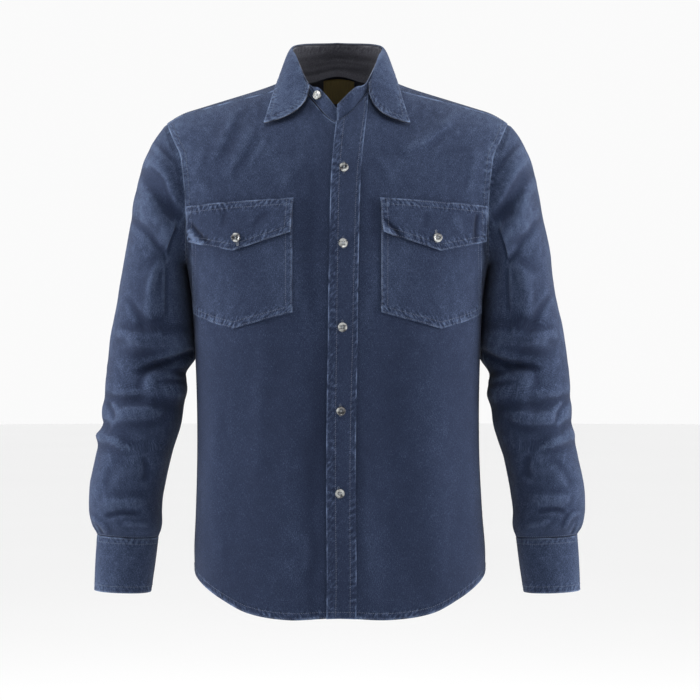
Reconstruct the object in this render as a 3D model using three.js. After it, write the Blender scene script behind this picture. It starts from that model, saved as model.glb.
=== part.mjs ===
// A long-sleeved denim shirt, filled out as it is when worn, with nobody in it.
// Millimetres, +Z up, the front faces -Y and the wearer's left sleeve lies towards +X.
// The origin is the middle of the neck base, level with the shoulder seams, where the shoulders carry it.
import * as THREE from "three";

// Cloth and seams
const CLOTH = 1.3;
const DOUBLE_CLOTH = 2.2;
const SEAM_GAP = 0.5;
const NECK_SEAM_GAP = 1;
const SLEEVE_SEAM_GAP = 0.7;
const LAY_GAP = 0.8;

// Torso sections: half width, depth to the front and to the back, and how far the section sits to the side.
// Above the chest the half width runs on past the armhole, as the round of the shoulder does.
const TORSO = [
  { z: -770, half: 200, front: 121, back: 128, shift: 4 },
  { z: -690, half: 202, front: 121, back: 127, shift: 4 },
  { z: -650, half: 203, front: 121, back: 126, shift: 3.5 },
  { z: -600, half: 200, front: 119, back: 123, shift: 2.5 },
  { z: -520, half: 197, front: 117, back: 120, shift: 1.5 },
  { z: -440, half: 197, front: 118, back: 122, shift: 1 },
  { z: -350, half: 200, front: 123, back: 130, shift: 0.5 },
  { z: -300, half: 203, front: 127, back: 135, shift: 0 },
  { z: -255, half: 210, front: 129, back: 137, shift: 0 },
  { z: -225, half: 217, front: 129, back: 137, shift: 0 },
  { z: -200, half: 225, front: 129, back: 137, shift: 0 },
  { z: -150, half: 245, front: 129, back: 137, shift: 0 },
  { z: -100, half: 257, front: 129, back: 137, shift: 0 },
  { z: 0, half: 265, front: 129, back: 137, shift: 0 },
  { z: 70, half: 266, front: 129, back: 137, shift: 0 },
];
const CHEST_Z = -255;
const FRONT_ROUND = 2.6;
const BACK_ROUND = 2.3;
const SHOULDER_BEND = 1.8;
const FRONT_RISE = 1.9;
const BACK_RISE = 2.4;

// Shoulder line: its height over the middle, its slope, and the rise towards the neck
const SHOULDER = { height: 26.6, slope: 0.31, soften: 30, neckRise: 36, neckWidth: 50, tipFrom: 205, tipDrop: 0.0071 };
const SHOULDER_TIP_X = 238;

// Armhole seen from the front and from behind: distance from the middle at each height
const ARMHOLE_FRONT = [
  { z: -255, x: 210 }, { z: -225, x: 208.5 }, { z: -175, x: 207.5 }, { z: -150, x: 209 },
  { z: -122, x: 212.5 }, { z: -103, x: 216 }, { z: -85, x: 225 }, { z: -55.6, x: SHOULDER_TIP_X },
];
const ARMHOLE_BACK = [
  { z: -255, x: 210 }, { z: -225, x: 213 }, { z: -200, x: 215.5 }, { z: -150, x: 219 },
  { z: -105, x: 224 }, { z: -85, x: 229 }, { z: -55.6, x: SHOULDER_TIP_X },
];

// Neckline seen from above, and the two yoke seams
const NECK = { half: 63, front: 96, back: 60, pointed: 1.75 };
const YOKE_FRONT_AT_NECK = 36;
const YOKE_FRONT_AT_SLEEVE = 8;
const YOKE_BACK_Z = -108;
const YOKE_SLEEVE_GAP = 0.1;

// Shirt-tail hem: height at each angle round from the centre front
const HEM = [
  { turn: 0, z: -733 }, { turn: 14, z: -735.5 }, { turn: 32, z: -728 }, { turn: 48, z: -711 },
  { turn: 62, z: -697 }, { turn: 75, z: -686 }, { turn: 90, z: -678 }, { turn: 108, z: -690 },
  { turn: 126, z: -713 }, { turn: 145, z: -737 }, { turn: 180, z: -748 },
];

// Front opening: the left edge of the top layer, which leans a little, and the laps either side of it
const PLACKET_EDGE = [
  { z: -770, x: -18.5 }, { z: -700, x: -17.5 }, { z: -565, x: -16.2 }, { z: -466, x: -15 },
  { z: -342, x: -12.2 }, { z: -237, x: -10.2 }, { z: -143, x: -8 }, { z: -95, x: -4.5 }, { z: -40, x: 1.5 },
];
const PLACKET_WIDTH = 40;
const PLACKET_LIFT = 2.3;
const PLACKET_NECK_LIFT = 0.8;
const PLACKET_NECK_RAMP = [-110, -55];
const UNDERLAP = 24;
const UNDER_DEPTH = 3.2;
const UNDER_RAMP = [-75, -28];
const SIDE_SEAM_TURN = 0.12;
const UNDER_TOP_X = 2;

// Patch pockets and their pointed flaps, given for the wearer's left and mirrored for the right
const POCKET = { inner: 59.5, outer: 197, top: -184, corner: -321, tip: -343, tipAt: 0.48 };
const FLAP = {
  innerTop: { x: 58, z: -168 }, outerTop: { x: 202.5, z: -176 },
  innerLow: { x: 62, z: -214 }, outerLow: { x: 200, z: -223 }, tip: { x: 133, z: -238 },
  lift: 1.6, liftTurn: Math.PI / 1.6, underButton: 0.95,
};

// Buttons
const BUTTON = { radius: 6.2, footRadius: 5.58, waist: 1.5, rimRadius: 4.96, thick: 2.5, dish: 0.7, dishRadius: 3.9 };
const FRONT_BUTTONS = [
  { x: 9.4, z: -127 }, { x: 8.7, z: -229 }, { x: 7.4, z: -341 }, { x: 4.7, z: -454 }, { x: 2.2, z: -565 },
];
const FLAP_BUTTON = { x: 133.5, z: -221 };
const NECK_BUTTON = { turn: -152, up: 0.56, off: -1.5 };

// Sleeve rings: the outer and inner edge seen from the front, the middle of the depth, and half the depth
const SLEEVE = [
  { outX: 252, outZ: -66, inX: 213, inZ: -262, midY: 3, halfY: 76 },
  { outX: 266, outZ: -92, inX: 212.5, inZ: -268, midY: 5, halfY: 77 },
  { outX: 280, outZ: -142, inX: 211.5, inZ: -276, midY: 8, halfY: 77 },
  { outX: 291, outZ: -200, inX: 210.5, inZ: -287, midY: 11, halfY: 76 },
  { outX: 300, outZ: -252, inX: 209.5, inZ: -303, midY: 13, halfY: 74 },
  { outX: 308, outZ: -300, inX: 209, inZ: -327, midY: 15, halfY: 72 },
  { outX: 319, outZ: -352, inX: 211, inZ: -363, midY: 18, halfY: 70 },
  { outX: 325, outZ: -400, inX: 215, inZ: -402, midY: 20, halfY: 68 },
  { outX: 330, outZ: -440, inX: 216, inZ: -440, midY: 21, halfY: 67 },
  { outX: 331, outZ: -480, inX: 221, inZ: -480, midY: 18, halfY: 64 },
  { outX: 338, outZ: -520, inX: 233, inZ: -522, midY: 13, halfY: 61 },
  { outX: 346, outZ: -560, inX: 242, inZ: -562, midY: 8, halfY: 58 },
  { outX: 347, outZ: -592, inX: 246, inZ: -594, midY: 3, halfY: 55 },
  { outX: 343, outZ: -614, inX: 246, inZ: -617, midY: -1, halfY: 50 },
  { outX: 335.5, outZ: -628.5, inX: 250, inZ: -632.5, midY: -3, halfY: 41 },
];
const SLEEVE_ROUND = 2.15;
const SLEEVE_BLEND_ROWS = 3.2;
const SLEEVE_BLEND = { quick: 0.55, smooth: 0.45 };
const SLEEVE_LENGTH = 640;
const SLEEVE_CORE = { topX: 235, lowX: 292, fromZ: -150, height: 480, y: 10 };

// Cuffs: the same four sizes at the seam and at the edge, and the lap behind the wrist
const CUFF_TOP = { outX: 335.5, outZ: -629.5, inX: 250, inZ: -633.5, midY: -3, halfY: 40 };
const CUFF_EDGE = { outX: 339, outZ: -706, inX: 260, inZ: -709, midY: -8, halfY: 37.5 };
const CUFF_LAP = { from: 300, overlap: 34, rise: 2.9, riseOver: [0.84, 0.9] };
const CUFF_CORE = { x: 296, y: -5 };
const CUFF_BUTTON = { across: 0.955, down: 0.5, reachAcross: 0.02, reachDown: 0.2 };
const SLIT = { around: 308, halfWidth: 11, length: 118, lowEnd: 0.992, coreX: 280 };

// Collar: height of its fold at each angle round from the centre back, and where the leaf's edge lies from above
const COLLAR_FOLD = { half: 64, front: 89, back: 57, pointed: 1.8 };
const FOLD_HEIGHT = [
  { turn: 0, z: 63 }, { turn: 40, z: 60 }, { turn: 70, z: 54 }, { turn: 90, z: 47 }, { turn: 103, z: 40 },
  { turn: 113, z: 33 }, { turn: 124, z: 18 }, { turn: 135, z: 0 }, { turn: 140, z: -7 }, { turn: 146, z: -11 },
  { turn: 153, z: -13 }, { turn: 161, z: -20 }, { turn: 172, z: -32 }, { turn: 180, z: -40 }, { turn: 190, z: -44 },
];
const LEAF_EDGE = [
  { share: 0, x: 0, y: 76, off: 4.5 }, { share: 0.21, x: 38, y: 69, off: 5 }, { share: 0.43, x: 66, y: 43, off: 5 },
  { share: 0.64, x: 78, y: 0, off: 4.5 }, { share: 0.78, x: 82.5, y: -30, off: 4.5 },
  { share: 0.9, x: 89, y: -58, off: 5 }, { share: 1, x: 97, y: -78, off: 6 },
];
const LEAF_END = { left: 138, right: 144 };
const LEAF_FRONT = { x: 39, z: -51, off: 9, from: 0.86, outFrom: 0.76, clear: 3.2, bend: 1.5 };
const STAND_END = { over: 178.5, under: 182 };
const LEAF_ROLL = { out: 6, up: 5.4, inset: 1.4 };
const LEAF_THICK = 1.9;
const LEAF_SLANT = 0.6;
const LEAF_CORE = { inward: 0.7, z: -60 };
const LEAF_FRONT_CLEAR = 0.4;

const STAND_SEAM_SHARE = 0.028;
const STAND_BOW = 1.2;
const STAND_UNDER_RAMP = [0, 30];

// Plain woven label inside the back of the neck
const LABEL = { middle: 2, half: 23, top: 6, length: 36, thick: 1, gap: 1.3, slope: 0.8 };

// Main folds: from one point to the other as seen from the front or back, half width, and height (+ ridge, - trough)
const SLEEVE_FOLDS = [
  { face: "front", x1: 252, z1: -108, x2: 211, z2: -178, wide: 13, high: -7 },
  { face: "front", x1: 262, z1: -128, x2: 214, z2: -206, wide: 12, high: 3.5 },
  { face: "front", x1: 261, z1: -168, x2: 206, z2: -252, wide: 14, high: -7.5 },
  { face: "front", x1: 252, z1: -258, x2: 252, z2: -320, wide: 13, high: -5 },
  { face: "front", x1: 284, z1: -364, x2: 210, z2: -352, wide: 13, high: -7.5 },
  { face: "front", x1: 268, z1: -404, x2: 210, z2: -376, wide: 8.5, high: 6 },
  { face: "front", x1: 264, z1: -422, x2: 214, z2: -432, wide: 16, high: -7 },
  { face: "front", x1: 328, z1: -440, x2: 262, z2: -446, wide: 10, high: 5 },
  { face: "front", x1: 304, z1: -466, x2: 246, z2: -460, wide: 9, high: -5.5 },
  { face: "front", x1: 334, z1: -492, x2: 290, z2: -500, wide: 9, high: -5 },
  { face: "front", x1: 318, z1: -580, x2: 268, z2: -582, wide: 9, high: -3.5 },
  { face: "back", x1: 262, z1: -118, x2: 218, z2: -196, wide: 14, high: -6 },
  { face: "back", x1: 284, z1: -232, x2: 214, z2: -290, wide: 15, high: -5 },
  { face: "back", x1: 300, z1: -372, x2: 222, z2: -352, wide: 14, high: -5 },
  { face: "back", x1: 322, z1: -428, x2: 246, z2: -412, wide: 12, high: 5 },
  { face: "back", x1: 318, z1: -462, x2: 236, z2: -470, wide: 12, high: -6 },
  { face: "back", x1: 330, z1: -540, x2: 262, z2: -526, wide: 13, high: -4 },
];
const TORSO_FOLDS = [
  { face: "front", x1: -139, z1: -42, x2: -168, z2: -108, wide: 10, high: 2.6 },
  { face: "front", x1: -122, z1: -66, x2: -150, z2: -130, wide: 9, high: 2.2 },
  { face: "front", x1: 158, z1: -52, x2: 98, z2: -96, wide: 15, high: 3.2 },
  { face: "front", x1: -48, z1: -330, x2: -62, z2: -735, wide: 26, high: 3 },
  { face: "front", x1: 74, z1: -350, x2: 70, z2: -735, wide: 26, high: -3 },
  { face: "front", x1: 128, z1: -400, x2: 142, z2: -735, wide: 28, high: 3 },
  { face: "front", x1: -128, z1: -420, x2: -134, z2: -735, wide: 26, high: -2.5 },
  { face: "back", x1: -88, z1: -150, x2: -96, z2: -740, wide: 30, high: 4 },
  { face: "back", x1: 4, z1: -230, x2: 0, z2: -752, wide: 34, high: -4 },
  { face: "back", x1: 92, z1: -170, x2: 104, z2: -740, wide: 30, high: 4 },
];

// Where the folds fade: along each fold, towards the side seams, and on the sleeve at its seams and under the arm
const FOLD_START = [-0.25, 0.25];
const FOLD_STOP = [0.75, 1.25];
const TORSO_FOLD_DEPTH = [0, 60];
const SLEEVE_FOLD_FADE = { round: [-0.45, 0.3], armhole: [0.02, 0.12], cuff: [0.955, 1], underarm: [0.3, 0.5], underarmTurns: [110, 250] };

// Grid sizes
const FRONT_GRID = { neck: 6, side: 8, low: 9, high: 12 };
const POCKET_GRID = { across: 12, down: 8 };
const PLACKET_GRID = { across: 3, down: 28 };
const BACK_GRID = { across: 20, low: 10, high: 4 };
const YOKE_GRID = { seam: 7, arm: 4, out: 7 };
const SLEEVE_GRID = { around: 20, along: 27 };
const COLLAR_GRID = { leaf: 34, fall: 5, end: 5, rise: 2 };
const FLAP_GRID = { across: 10, down: 3 };
const CUFF_GRID = { across: 30, down: 2 };
const SLIT_GRID = { across: 2, up: 6 };
const LABEL_GRID = { across: 4, down: 3 };
const BUTTON_SIDES = 12;

const radians = THREE.MathUtils.degToRad;
const clamp = THREE.MathUtils.clamp;
const step = THREE.MathUtils.smoothstep;
const mix = THREE.MathUtils.lerp;
const TINY = 1e-6;

/** Value that a rule settles on, from a start, in rounds that each go a share of the way. */
function settle(start, rounds, pull, rule) {
  let value = start;
  for (let i = 0; i < rounds; i++) value = mix(value, rule(value), pull);
  return value;
}

/** A column of a table, read smoothly between its rows. */
function read(rows, key, at, name) {
  let i = rows.findIndex((row) => row[key] >= at);
  if (i === 0) return rows[0][name];
  if (i < 0) return rows[rows.length - 1][name];
  const [a, b] = [rows[i - 1], rows[i]];
  const before = rows[i - 2] ?? a;
  const after = rows[i + 1] ?? b;
  const span = b[key] - a[key];
  const t = (at - a[key]) / span;
  const startSlope = ((b[name] - before[name]) / (b[key] - before[key])) * span;
  const endSlope = ((after[name] - a[name]) / (after[key] - a[key])) * span;
  const t2 = t * t;
  const t3 = t2 * t;
  return (
    a[name] * (2 * t3 - 3 * t2 + 1) + startSlope * (t3 - 2 * t2 + t) +
    b[name] * (3 * t2 - 2 * t3) + endSlope * (t3 - t2)
  );
}

/** Height that the folds of one face add at a point seen from the front. */
function foldHeight(folds, face, x, z) {
  let sum = 0;
  for (const fold of folds) {
    if (fold.face !== face) continue;
    const [dx, dz] = [fold.x2 - fold.x1, fold.z2 - fold.z1];
    const length = Math.hypot(dx, dz);
    const along = ((x - fold.x1) * dx + (z - fold.z1) * dz) / (length * length);
    const off = ((x - fold.x1) * dz - (z - fold.z1) * dx) / length;
    const fade = step(along, ...FOLD_START) * (1 - step(along, ...FOLD_STOP));
    sum += fold.high * fade * Math.exp(-((off / fold.wide) ** 2));
  }
  return sum;
}

/** Height of the shoulder line at a distance from the middle. */
function ridge(x) {
  const s = SHOULDER;
  return (
    s.height - s.slope * Math.hypot(x, s.soften) + s.neckRise * Math.exp(-((x / s.neckWidth) ** 2)) -
    s.tipDrop * Math.max(0, Math.abs(x) - s.tipFrom) ** 2
  );
}

/** Share of the chest depth that is left at a height above the chest. */
function lean(x, z, isFront) {
  if (z <= CHEST_Z) return 1;
  const up = clamp((z - CHEST_Z) / (ridge(x) - CHEST_Z), 0, 1);
  return (1 - up ** (isFront ? FRONT_RISE : BACK_RISE)) ** (1 / SHOULDER_BEND);
}

/** Point of the torso at an angle from the centre front (+ towards +X, 180 at the centre back) and a height. */
function torso(turn, z) {
  const isFront = Math.abs(turn) <= 90;
  const round = isFront ? FRONT_ROUND : BACK_ROUND;
  const half = read(TORSO, "z", z, "half");
  const x = half * Math.abs(Math.sin(radians(turn))) ** (2 / round) * Math.sign(turn);
  const depth = read(TORSO, "z", z, isFront ? "front" : "back") * Math.abs(Math.cos(radians(turn))) ** (2 / round);
  const rounding = step(depth, ...TORSO_FOLD_DEPTH);
  const out = depth * lean(Math.abs(x), z, isFront) + rounding * foldHeight(TORSO_FOLDS, isFront ? "front" : "back", x, z);
  return new THREE.Vector3(x + read(TORSO, "z", z, "shift"), isFront ? -out : out, z);
}

/** Angle round the torso at which a height has a given distance from the middle. */
function turnAt(x, z, isFront) {
  const half = read(TORSO, "z", z, "half");
  const round = isFront ? FRONT_ROUND : BACK_ROUND;
  const turn = THREE.MathUtils.radToDeg(Math.asin(clamp(Math.abs(x) / half, 0, 1) ** (round / 2)));
  return Math.sign(x) * (isFront ? turn : 180 - turn);
}

/** Angle of the panel's outer edge at a height: the side seam, and the armhole above it. */
function edgeTurn(z, isFront) {
  if (z <= CHEST_Z) return 90;
  return turnAt(read(isFront ? ARMHOLE_FRONT : ARMHOLE_BACK, "z", z, "x"), z, isFront);
}

/** Angle that lies a given share of the way along the section between two angles. */
function turnAlong(z, from, to, share) {
  const samples = 40;
  const lengths = [0];
  let last = torso(from, z);
  for (let i = 1; i <= samples; i++) {
    const next = torso(mix(from, to, i / samples), z);
    lengths.push(lengths[i - 1] + next.distanceTo(last));
    last = next;
  }
  const target = share * lengths[samples];
  const i = clamp(lengths.findIndex((l) => l >= target), 1, samples);
  const part = (target - lengths[i - 1]) / (lengths[i] - lengths[i - 1]);
  return mix(from, to, (i - 1 + part) / samples);
}

/** Height of the shoulder surface over a point seen from above. */
function heightOver(x, y) {
  const isFront = y <= 0;
  const round = isFront ? FRONT_ROUND : BACK_ROUND;
  return settle(-60, 12, 0.8, (z) => {
    const turn = turnAt(Math.abs(x) || TINY, z, isFront);
    const depth = read(TORSO, "z", z, isFront ? "front" : "back") * Math.abs(Math.cos(radians(turn))) ** (2 / round);
    const share = clamp(Math.abs(y) / depth, 0, 1);
    const up = (1 - share ** SHOULDER_BEND) ** (1 / (isFront ? FRONT_RISE : BACK_RISE));
    return CHEST_Z + (ridge(x) - CHEST_Z) * up;
  });
}

/** Point of a pointed oval seen from above, at an angle from the centre back. */
function oval(size, turn) {
  const [s, c] = [Math.sin(radians(turn)), Math.cos(radians(turn))];
  const power = c < 0 ? 2 / size.pointed : 1;
  const x = size.half * Math.sign(s) * Math.abs(s) ** power;
  const y = c < 0 ? -size.front * Math.abs(c) ** power : size.back * c;
  return new THREE.Vector2(x, y);
}

/** Neck seam at an angle from the centre back, on the shoulder surface. */
function neckSeam(turn) {
  const p = oval(NECK, turn);
  return new THREE.Vector3(p.x, p.y, heightOver(p.x, p.y));
}

/** How far forward of the shoulder line the yoke's front seam runs. */
function yokeFrontY(x) {
  return -mix(YOKE_FRONT_AT_NECK, YOKE_FRONT_AT_SLEEVE, clamp((Math.abs(x) - NECK.half) / (SHOULDER_TIP_X - NECK.half), 0, 1));
}

/** Angle on the neck seam where the yoke's front seam starts. */
function yokeCornerTurn() {
  let turn = 90;
  while (oval(NECK, turn).y > yokeFrontY(NECK.half)) turn += 0.25;
  return turn;
}
const YOKE_CORNER = yokeCornerTurn();
const YOKE_CORNER_X = oval(NECK, YOKE_CORNER).x;

/** Height of a front panel's top edge at a distance from the middle: the neckline, then the yoke seam. */
function frontTop(x) {
  const off = Math.abs(x);
  if (off >= YOKE_CORNER_X) return heightOver(off, yokeFrontY(off));
  const y = -NECK.front * (1 - (off / NECK.half) ** NECK.pointed) ** (1 / NECK.pointed);
  return heightOver(off, y);
}

/** Armhole at an angle: 0 on the shoulder tip, 90 at the front, 180 underarm, 270 behind. */
function armhole(around) {
  const tip = ridge(SHOULDER_TIP_X);
  const z = (tip + CHEST_Z) / 2 + Math.cos(radians(around)) * (tip - CHEST_Z) / 2;
  const isFront = Math.sin(radians(around)) >= 0;
  return torso(edgeTurn(z, isFront), z);
}

/** Point of a tapering oval ring at an angle, from its row of sizes. */
function ringPoint(row, around) {
  const [c, s] = [Math.cos(radians(around)), Math.sin(radians(around))];
  const across = Math.sign(c) * Math.abs(c) ** (2 / SLEEVE_ROUND);
  const deep = Math.sign(s) * Math.abs(s) ** (2 / SLEEVE_ROUND);
  return new THREE.Vector3(
    (row.outX + row.inX) / 2 + (across * (row.outX - row.inX)) / 2,
    row.midY - deep * row.halfY,
    (row.outZ + row.inZ) / 2 + (across * (row.outZ - row.inZ)) / 2,
  );
}

/** Smooth sleeve without its folds: along runs from 0 at the armhole to 1 at the cuff. */
function plainSleeve(around, along) {
  const at = along * SLEEVE.length;
  const rows = SLEEVE.map((row, i) => ({ ...row, at: i + 1 }));
  const row = {};
  for (const name of ["outX", "outZ", "inX", "inZ", "midY", "halfY"]) row[name] = read(rows, "at", Math.max(at, 1), name);
  const ring = ringPoint(row, around);
  if (at >= SLEEVE_BLEND_ROWS) return ring;
  const start = armhole(around).add(new THREE.Vector3(SLEEVE_SEAM_GAP, 0, 0));
  const share = at / SLEEVE_BLEND_ROWS;
  return start.lerp(ring, Math.min(1, share * (2 - share) * SLEEVE_BLEND.quick + step(at, 0, SLEEVE_BLEND_ROWS) * SLEEVE_BLEND.smooth));
}

/** Point of the wearer's left sleeve with its folds. */
function sleeve(around, along) {
  const p = plainSleeve(around, along);
  const du = plainSleeve(around + 1, along).sub(plainSleeve(around - 1, along));
  const dv = plainSleeve(around, Math.min(1, along + 0.004)).sub(plainSleeve(around, Math.max(0, along - 0.004)));
  const out = du.cross(dv).normalize().multiplyScalar(-1);
  const fade = SLEEVE_FOLD_FADE;
  const frontShare = step(Math.sin(radians(around)), ...fade.round);
  const backShare = step(-Math.sin(radians(around)), ...fade.round);
  const high = frontShare * foldHeight(SLEEVE_FOLDS, "front", p.x, p.z) + backShare * foldHeight(SLEEVE_FOLDS, "back", p.x, p.z);
  const held = step(along, ...fade.armhole) * (1 - step(along, ...fade.cuff));
  const isUnderarm = around > fade.underarmTurns[0] && around < fade.underarmTurns[1];
  const underarm = isUnderarm ? step(along, ...fade.underarm) : 1;
  return p.addScaledVector(out, high * held * underarm);
}

/** Unit normals of a grid of points, turned to face away from the core. */
function gridNormals(grid, core, joined) {
  const [rows, columns] = [grid.length, grid[0].length];
  const normals = grid.map((line, j) => line.map((_, i) => {
    const left = joined ? line[(i + columns - 1) % columns] : line[Math.max(0, i - 1)];
    const right = joined ? line[(i + 1) % columns] : line[Math.min(columns - 1, i + 1)];
    const du = right.clone().sub(left);
    const dv = grid[Math.min(rows - 1, j + 1)][i].clone().sub(grid[Math.max(0, j - 1)][i]);
    return du.cross(dv).normalize();
  }));
  let facing = 0;
  grid.forEach((line, j) => line.forEach((p, i) => { facing += normals[j][i].dot(p.clone().sub(core(p))); }));
  if (facing < 0) normals.flat().forEach((n) => n.negate());
  return normals;
}

/** Closed wall whose outer face is the grid, moved out by lift, and whose inner face lies thick behind it. */
function wall(name, material, grid, { thick = CLOTH, lift = () => 0, core, joined = false }) {
  const [rows, columns] = [grid.length, grid[0].length];
  const normals = gridNormals(grid, core, joined);
  const outer = grid.map((line, j) => line.map((p, i) => p.clone().addScaledVector(normals[j][i], lift(i / (columns - 1), j / (rows - 1), p))));
  const inner = outer.map((line, j) => line.map((p, i) => p.clone().addScaledVector(normals[j][i], -thick)));
  const positions = [...outer.flat(), ...inner.flat()].flatMap((p) => [p.x, p.y, p.z]);
  const at = (j, i, layer) => layer * rows * columns + j * columns + (i % columns);
  const faces = [];
  const quad = (a, b, c, d) => faces.push(a, b, c, a, c, d);
  const lastColumn = joined ? columns : columns - 1;
  for (let j = 0; j < rows - 1; j++) {
    for (let i = 0; i < lastColumn; i++) {
      quad(at(j, i, 0), at(j, i + 1, 0), at(j + 1, i + 1, 0), at(j + 1, i, 0));
      quad(at(j, i, 1), at(j + 1, i, 1), at(j + 1, i + 1, 1), at(j, i + 1, 1));
    }
  }
  for (let i = 0; i < lastColumn; i++) {
    quad(at(0, i, 1), at(0, i + 1, 1), at(0, i + 1, 0), at(0, i, 0));
    quad(at(rows - 1, i, 0), at(rows - 1, i + 1, 0), at(rows - 1, i + 1, 1), at(rows - 1, i, 1));
  }
  for (let j = 0; !joined && j < rows - 1; j++) {
    quad(at(j, 0, 0), at(j + 1, 0, 0), at(j + 1, 0, 1), at(j, 0, 1));
    quad(at(j, columns - 1, 1), at(j + 1, columns - 1, 1), at(j + 1, columns - 1, 0), at(j, columns - 1, 0));
  }
  const first = outer[0][1].clone().sub(outer[0][0]).cross(outer[1][0].clone().sub(outer[0][0]));
  if (first.dot(normals[0][0]) < 0) faces.reverse();
  const geometry = new THREE.BufferGeometry();
  geometry.setAttribute("position", new THREE.Float32BufferAttribute(positions, 3));
  geometry.setIndex(faces);
  geometry.computeVertexNormals();
  const mesh = new THREE.Mesh(geometry, material);
  mesh.name = name;
  return mesh;
}

/** Grid of points from a function of two shares. */
function gridOf(across, along, point) {
  return along.map((v) => across.map((u) => point(u, v)));
}
const shares = (count) => Array.from({ length: count + 1 }, (_, i) => i / count);
const mirrorX = (p) => new THREE.Vector3(-p.x, p.y, p.z);
const torsoCore = (p) => new THREE.Vector3(0, 0, Math.min(p.z, -140));

const denim = new THREE.MeshStandardMaterial({ color: 0x34425e, roughness: 0.9, metalness: 0 });
const buttonShell = new THREE.MeshStandardMaterial({ color: 0xb9b4a6, roughness: 0.3, metalness: 0 });
const labelCloth = new THREE.MeshStandardMaterial({ color: 0x5c4a1e, roughness: 0.8, metalness: 0 });

/** Height of the top edge of a front panel on one side; past the middle the under layer ends below the opening. */
function panelTop(side, x) {
  const top = frontTop(Math.max(x * side, UNDER_TOP_X));
  return Math.abs(x) < YOKE_CORNER_X ? top - NECK_SEAM_GAP : top - SEAM_GAP;
}

/** Front panel: side is +1 for the wearer's left, which laps over, and -1 for the right, which runs under. */
function frontPanel(name, side) {
  const { neck, side: wide, low, high } = FRONT_GRID;
  const startX = (z) => read(PLACKET_EDGE, "z", z, "x") + (side > 0 ? SEAM_GAP : UNDERLAP);
  const spanAt = (z) => [turnAt(startX(z), z, true), side * (edgeTurn(z, true) - SIDE_SEAM_TURN)];
  const pointAt = (u, z) => torso(turnAlong(z, ...spanAt(z), u), z);
  const cornerZ = heightOver(YOKE_CORNER_X, yokeFrontY(YOKE_CORNER_X));
  let corner = 0;
  for (let half = 0.4; half > 0.0005; half /= 2) {
    if (pointAt(corner + half, cornerZ).x * side < YOKE_CORNER_X) corner += half;
  }
  const across = [...shares(neck).map((u) => u * corner), ...shares(wide).slice(1).map((u) => mix(corner, 1, u))];
  const along = [...shares(low).map((v) => v - 1), ...shares(high).slice(1)];
  const grid = gridOf(across, along, (u, v) => {
    const low = (z) => read(HEM, "turn", Math.abs(turnAlong(z, ...spanAt(z), u)), "z");
    const high = (z) => panelTop(side, pointAt(u, z).x);
    const end = v <= 0 ? settle(HEM[0].z, 16, 0.6, low) : settle(cornerZ, 16, 0.6, high);
    return pointAt(u, mix(CHEST_Z, end, Math.abs(v)));
  });
  const lift = (u, v, p) => (side < 0 ? -UNDER_DEPTH * step(p.x, ...UNDER_RAMP) : 0);
  return wall(name, denim, grid, { core: torsoCore, lift });
}

/** Back panel, from side seam to side seam and from the hem to the yoke. */
function backPanel() {
  const { across, low, high } = BACK_GRID;
  const edge = (z) => edgeTurn(z, false) + SIDE_SEAM_TURN;
  const pointAt = (u, z) => {
    const turn = turnAlong(z, 180, edge(z), Math.abs(u));
    return torso(u < 0 ? -turn : turn, z);
  };
  const grid = gridOf(shares(across).map((u) => u * 2 - 1), [...shares(low).map((v) => v - 1), ...shares(high).slice(1)], (u, v) => {
    if (v > 0) return pointAt(u, mix(CHEST_Z, YOKE_BACK_Z - SEAM_GAP, v));
    const low = settle(-700, 12, 0.7, (z) => read(HEM, "turn", turnAlong(z, 180, edge(z), Math.abs(u)), "z"));
    return pointAt(u, mix(CHEST_Z, low, -v));
  });
  return wall("back", denim, grid, { core: torsoCore });
}

/** Plan position on the yoke: along the neck from the centre back, and out to its lower seam and the armholes. */
function yokePlan(u, v) {
  const side = Math.sign(u) || 1;
  const share = Math.abs(u);
  const seamPart = YOKE_GRID.seam / (YOKE_GRID.seam + YOKE_GRID.arm);
  const inner = neckSeam(share * YOKE_CORNER);
  const armBackX = read(ARMHOLE_BACK, "z", YOKE_BACK_Z, "x");
  let outer;
  if (share <= seamPart) {
    const x = armBackX * (share / seamPart);
    outer = torso(turnAt(x || TINY, YOKE_BACK_Z, false), YOKE_BACK_Z);
  } else {
    const rise = (share - seamPart) / (1 - seamPart);
    const tip = ridge(SHOULDER_TIP_X);
    const start = 360 - THREE.MathUtils.radToDeg(Math.acos((YOKE_BACK_Z - (tip + CHEST_Z) / 2) / ((tip - CHEST_Z) / 2)));
    let end = 360;
    while (armhole(end).y > yokeFrontY(SHOULDER_TIP_X)) end += 0.25;
    outer = armhole(mix(start, end, rise));
  }
  const x = mix(inner.x, outer.x - YOKE_SLEEVE_GAP, v);
  const y = mix(inner.y, outer.y, v);
  return new THREE.Vector3(side * x, y, 0);
}

/** Point of the yoke on the shoulder surface, its seams a gap away from the panels. */
function yokePoint(u, v) {
  const p = yokePlan(u, v);
  const turn = turnAt(p.x || TINY, YOKE_BACK_Z, false);
  if (v === 1 && Math.abs(p.y - torso(turn, YOKE_BACK_Z).y) < 0.5) p.z = YOKE_BACK_Z;
  else p.z = heightOver(p.x, p.y);
  return p;
}

/** Yoke over both shoulders, with the neck cut out. */
function yokePanel() {
  const count = YOKE_GRID.seam + YOKE_GRID.arm;
  const across = Array.from({ length: 2 * count + 1 }, (_, i) => (i - count) / count);
  return wall("yoke", denim, gridOf(across, shares(YOKE_GRID.out), yokePoint), { core: torsoCore });
}

/** Point of the left or right front seen from the front. */
function onFront(x, z) {
  return torso(turnAt(x || TINY, z, true), z);
}

/** Point a share of the way across between two distances from the middle, measured along the cloth. */
function acrossFront(x1, x2, share, z) {
  return torso(turnAlong(z, turnAt(x1, z, true), turnAt(x2, z, true), share), z);
}

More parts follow.
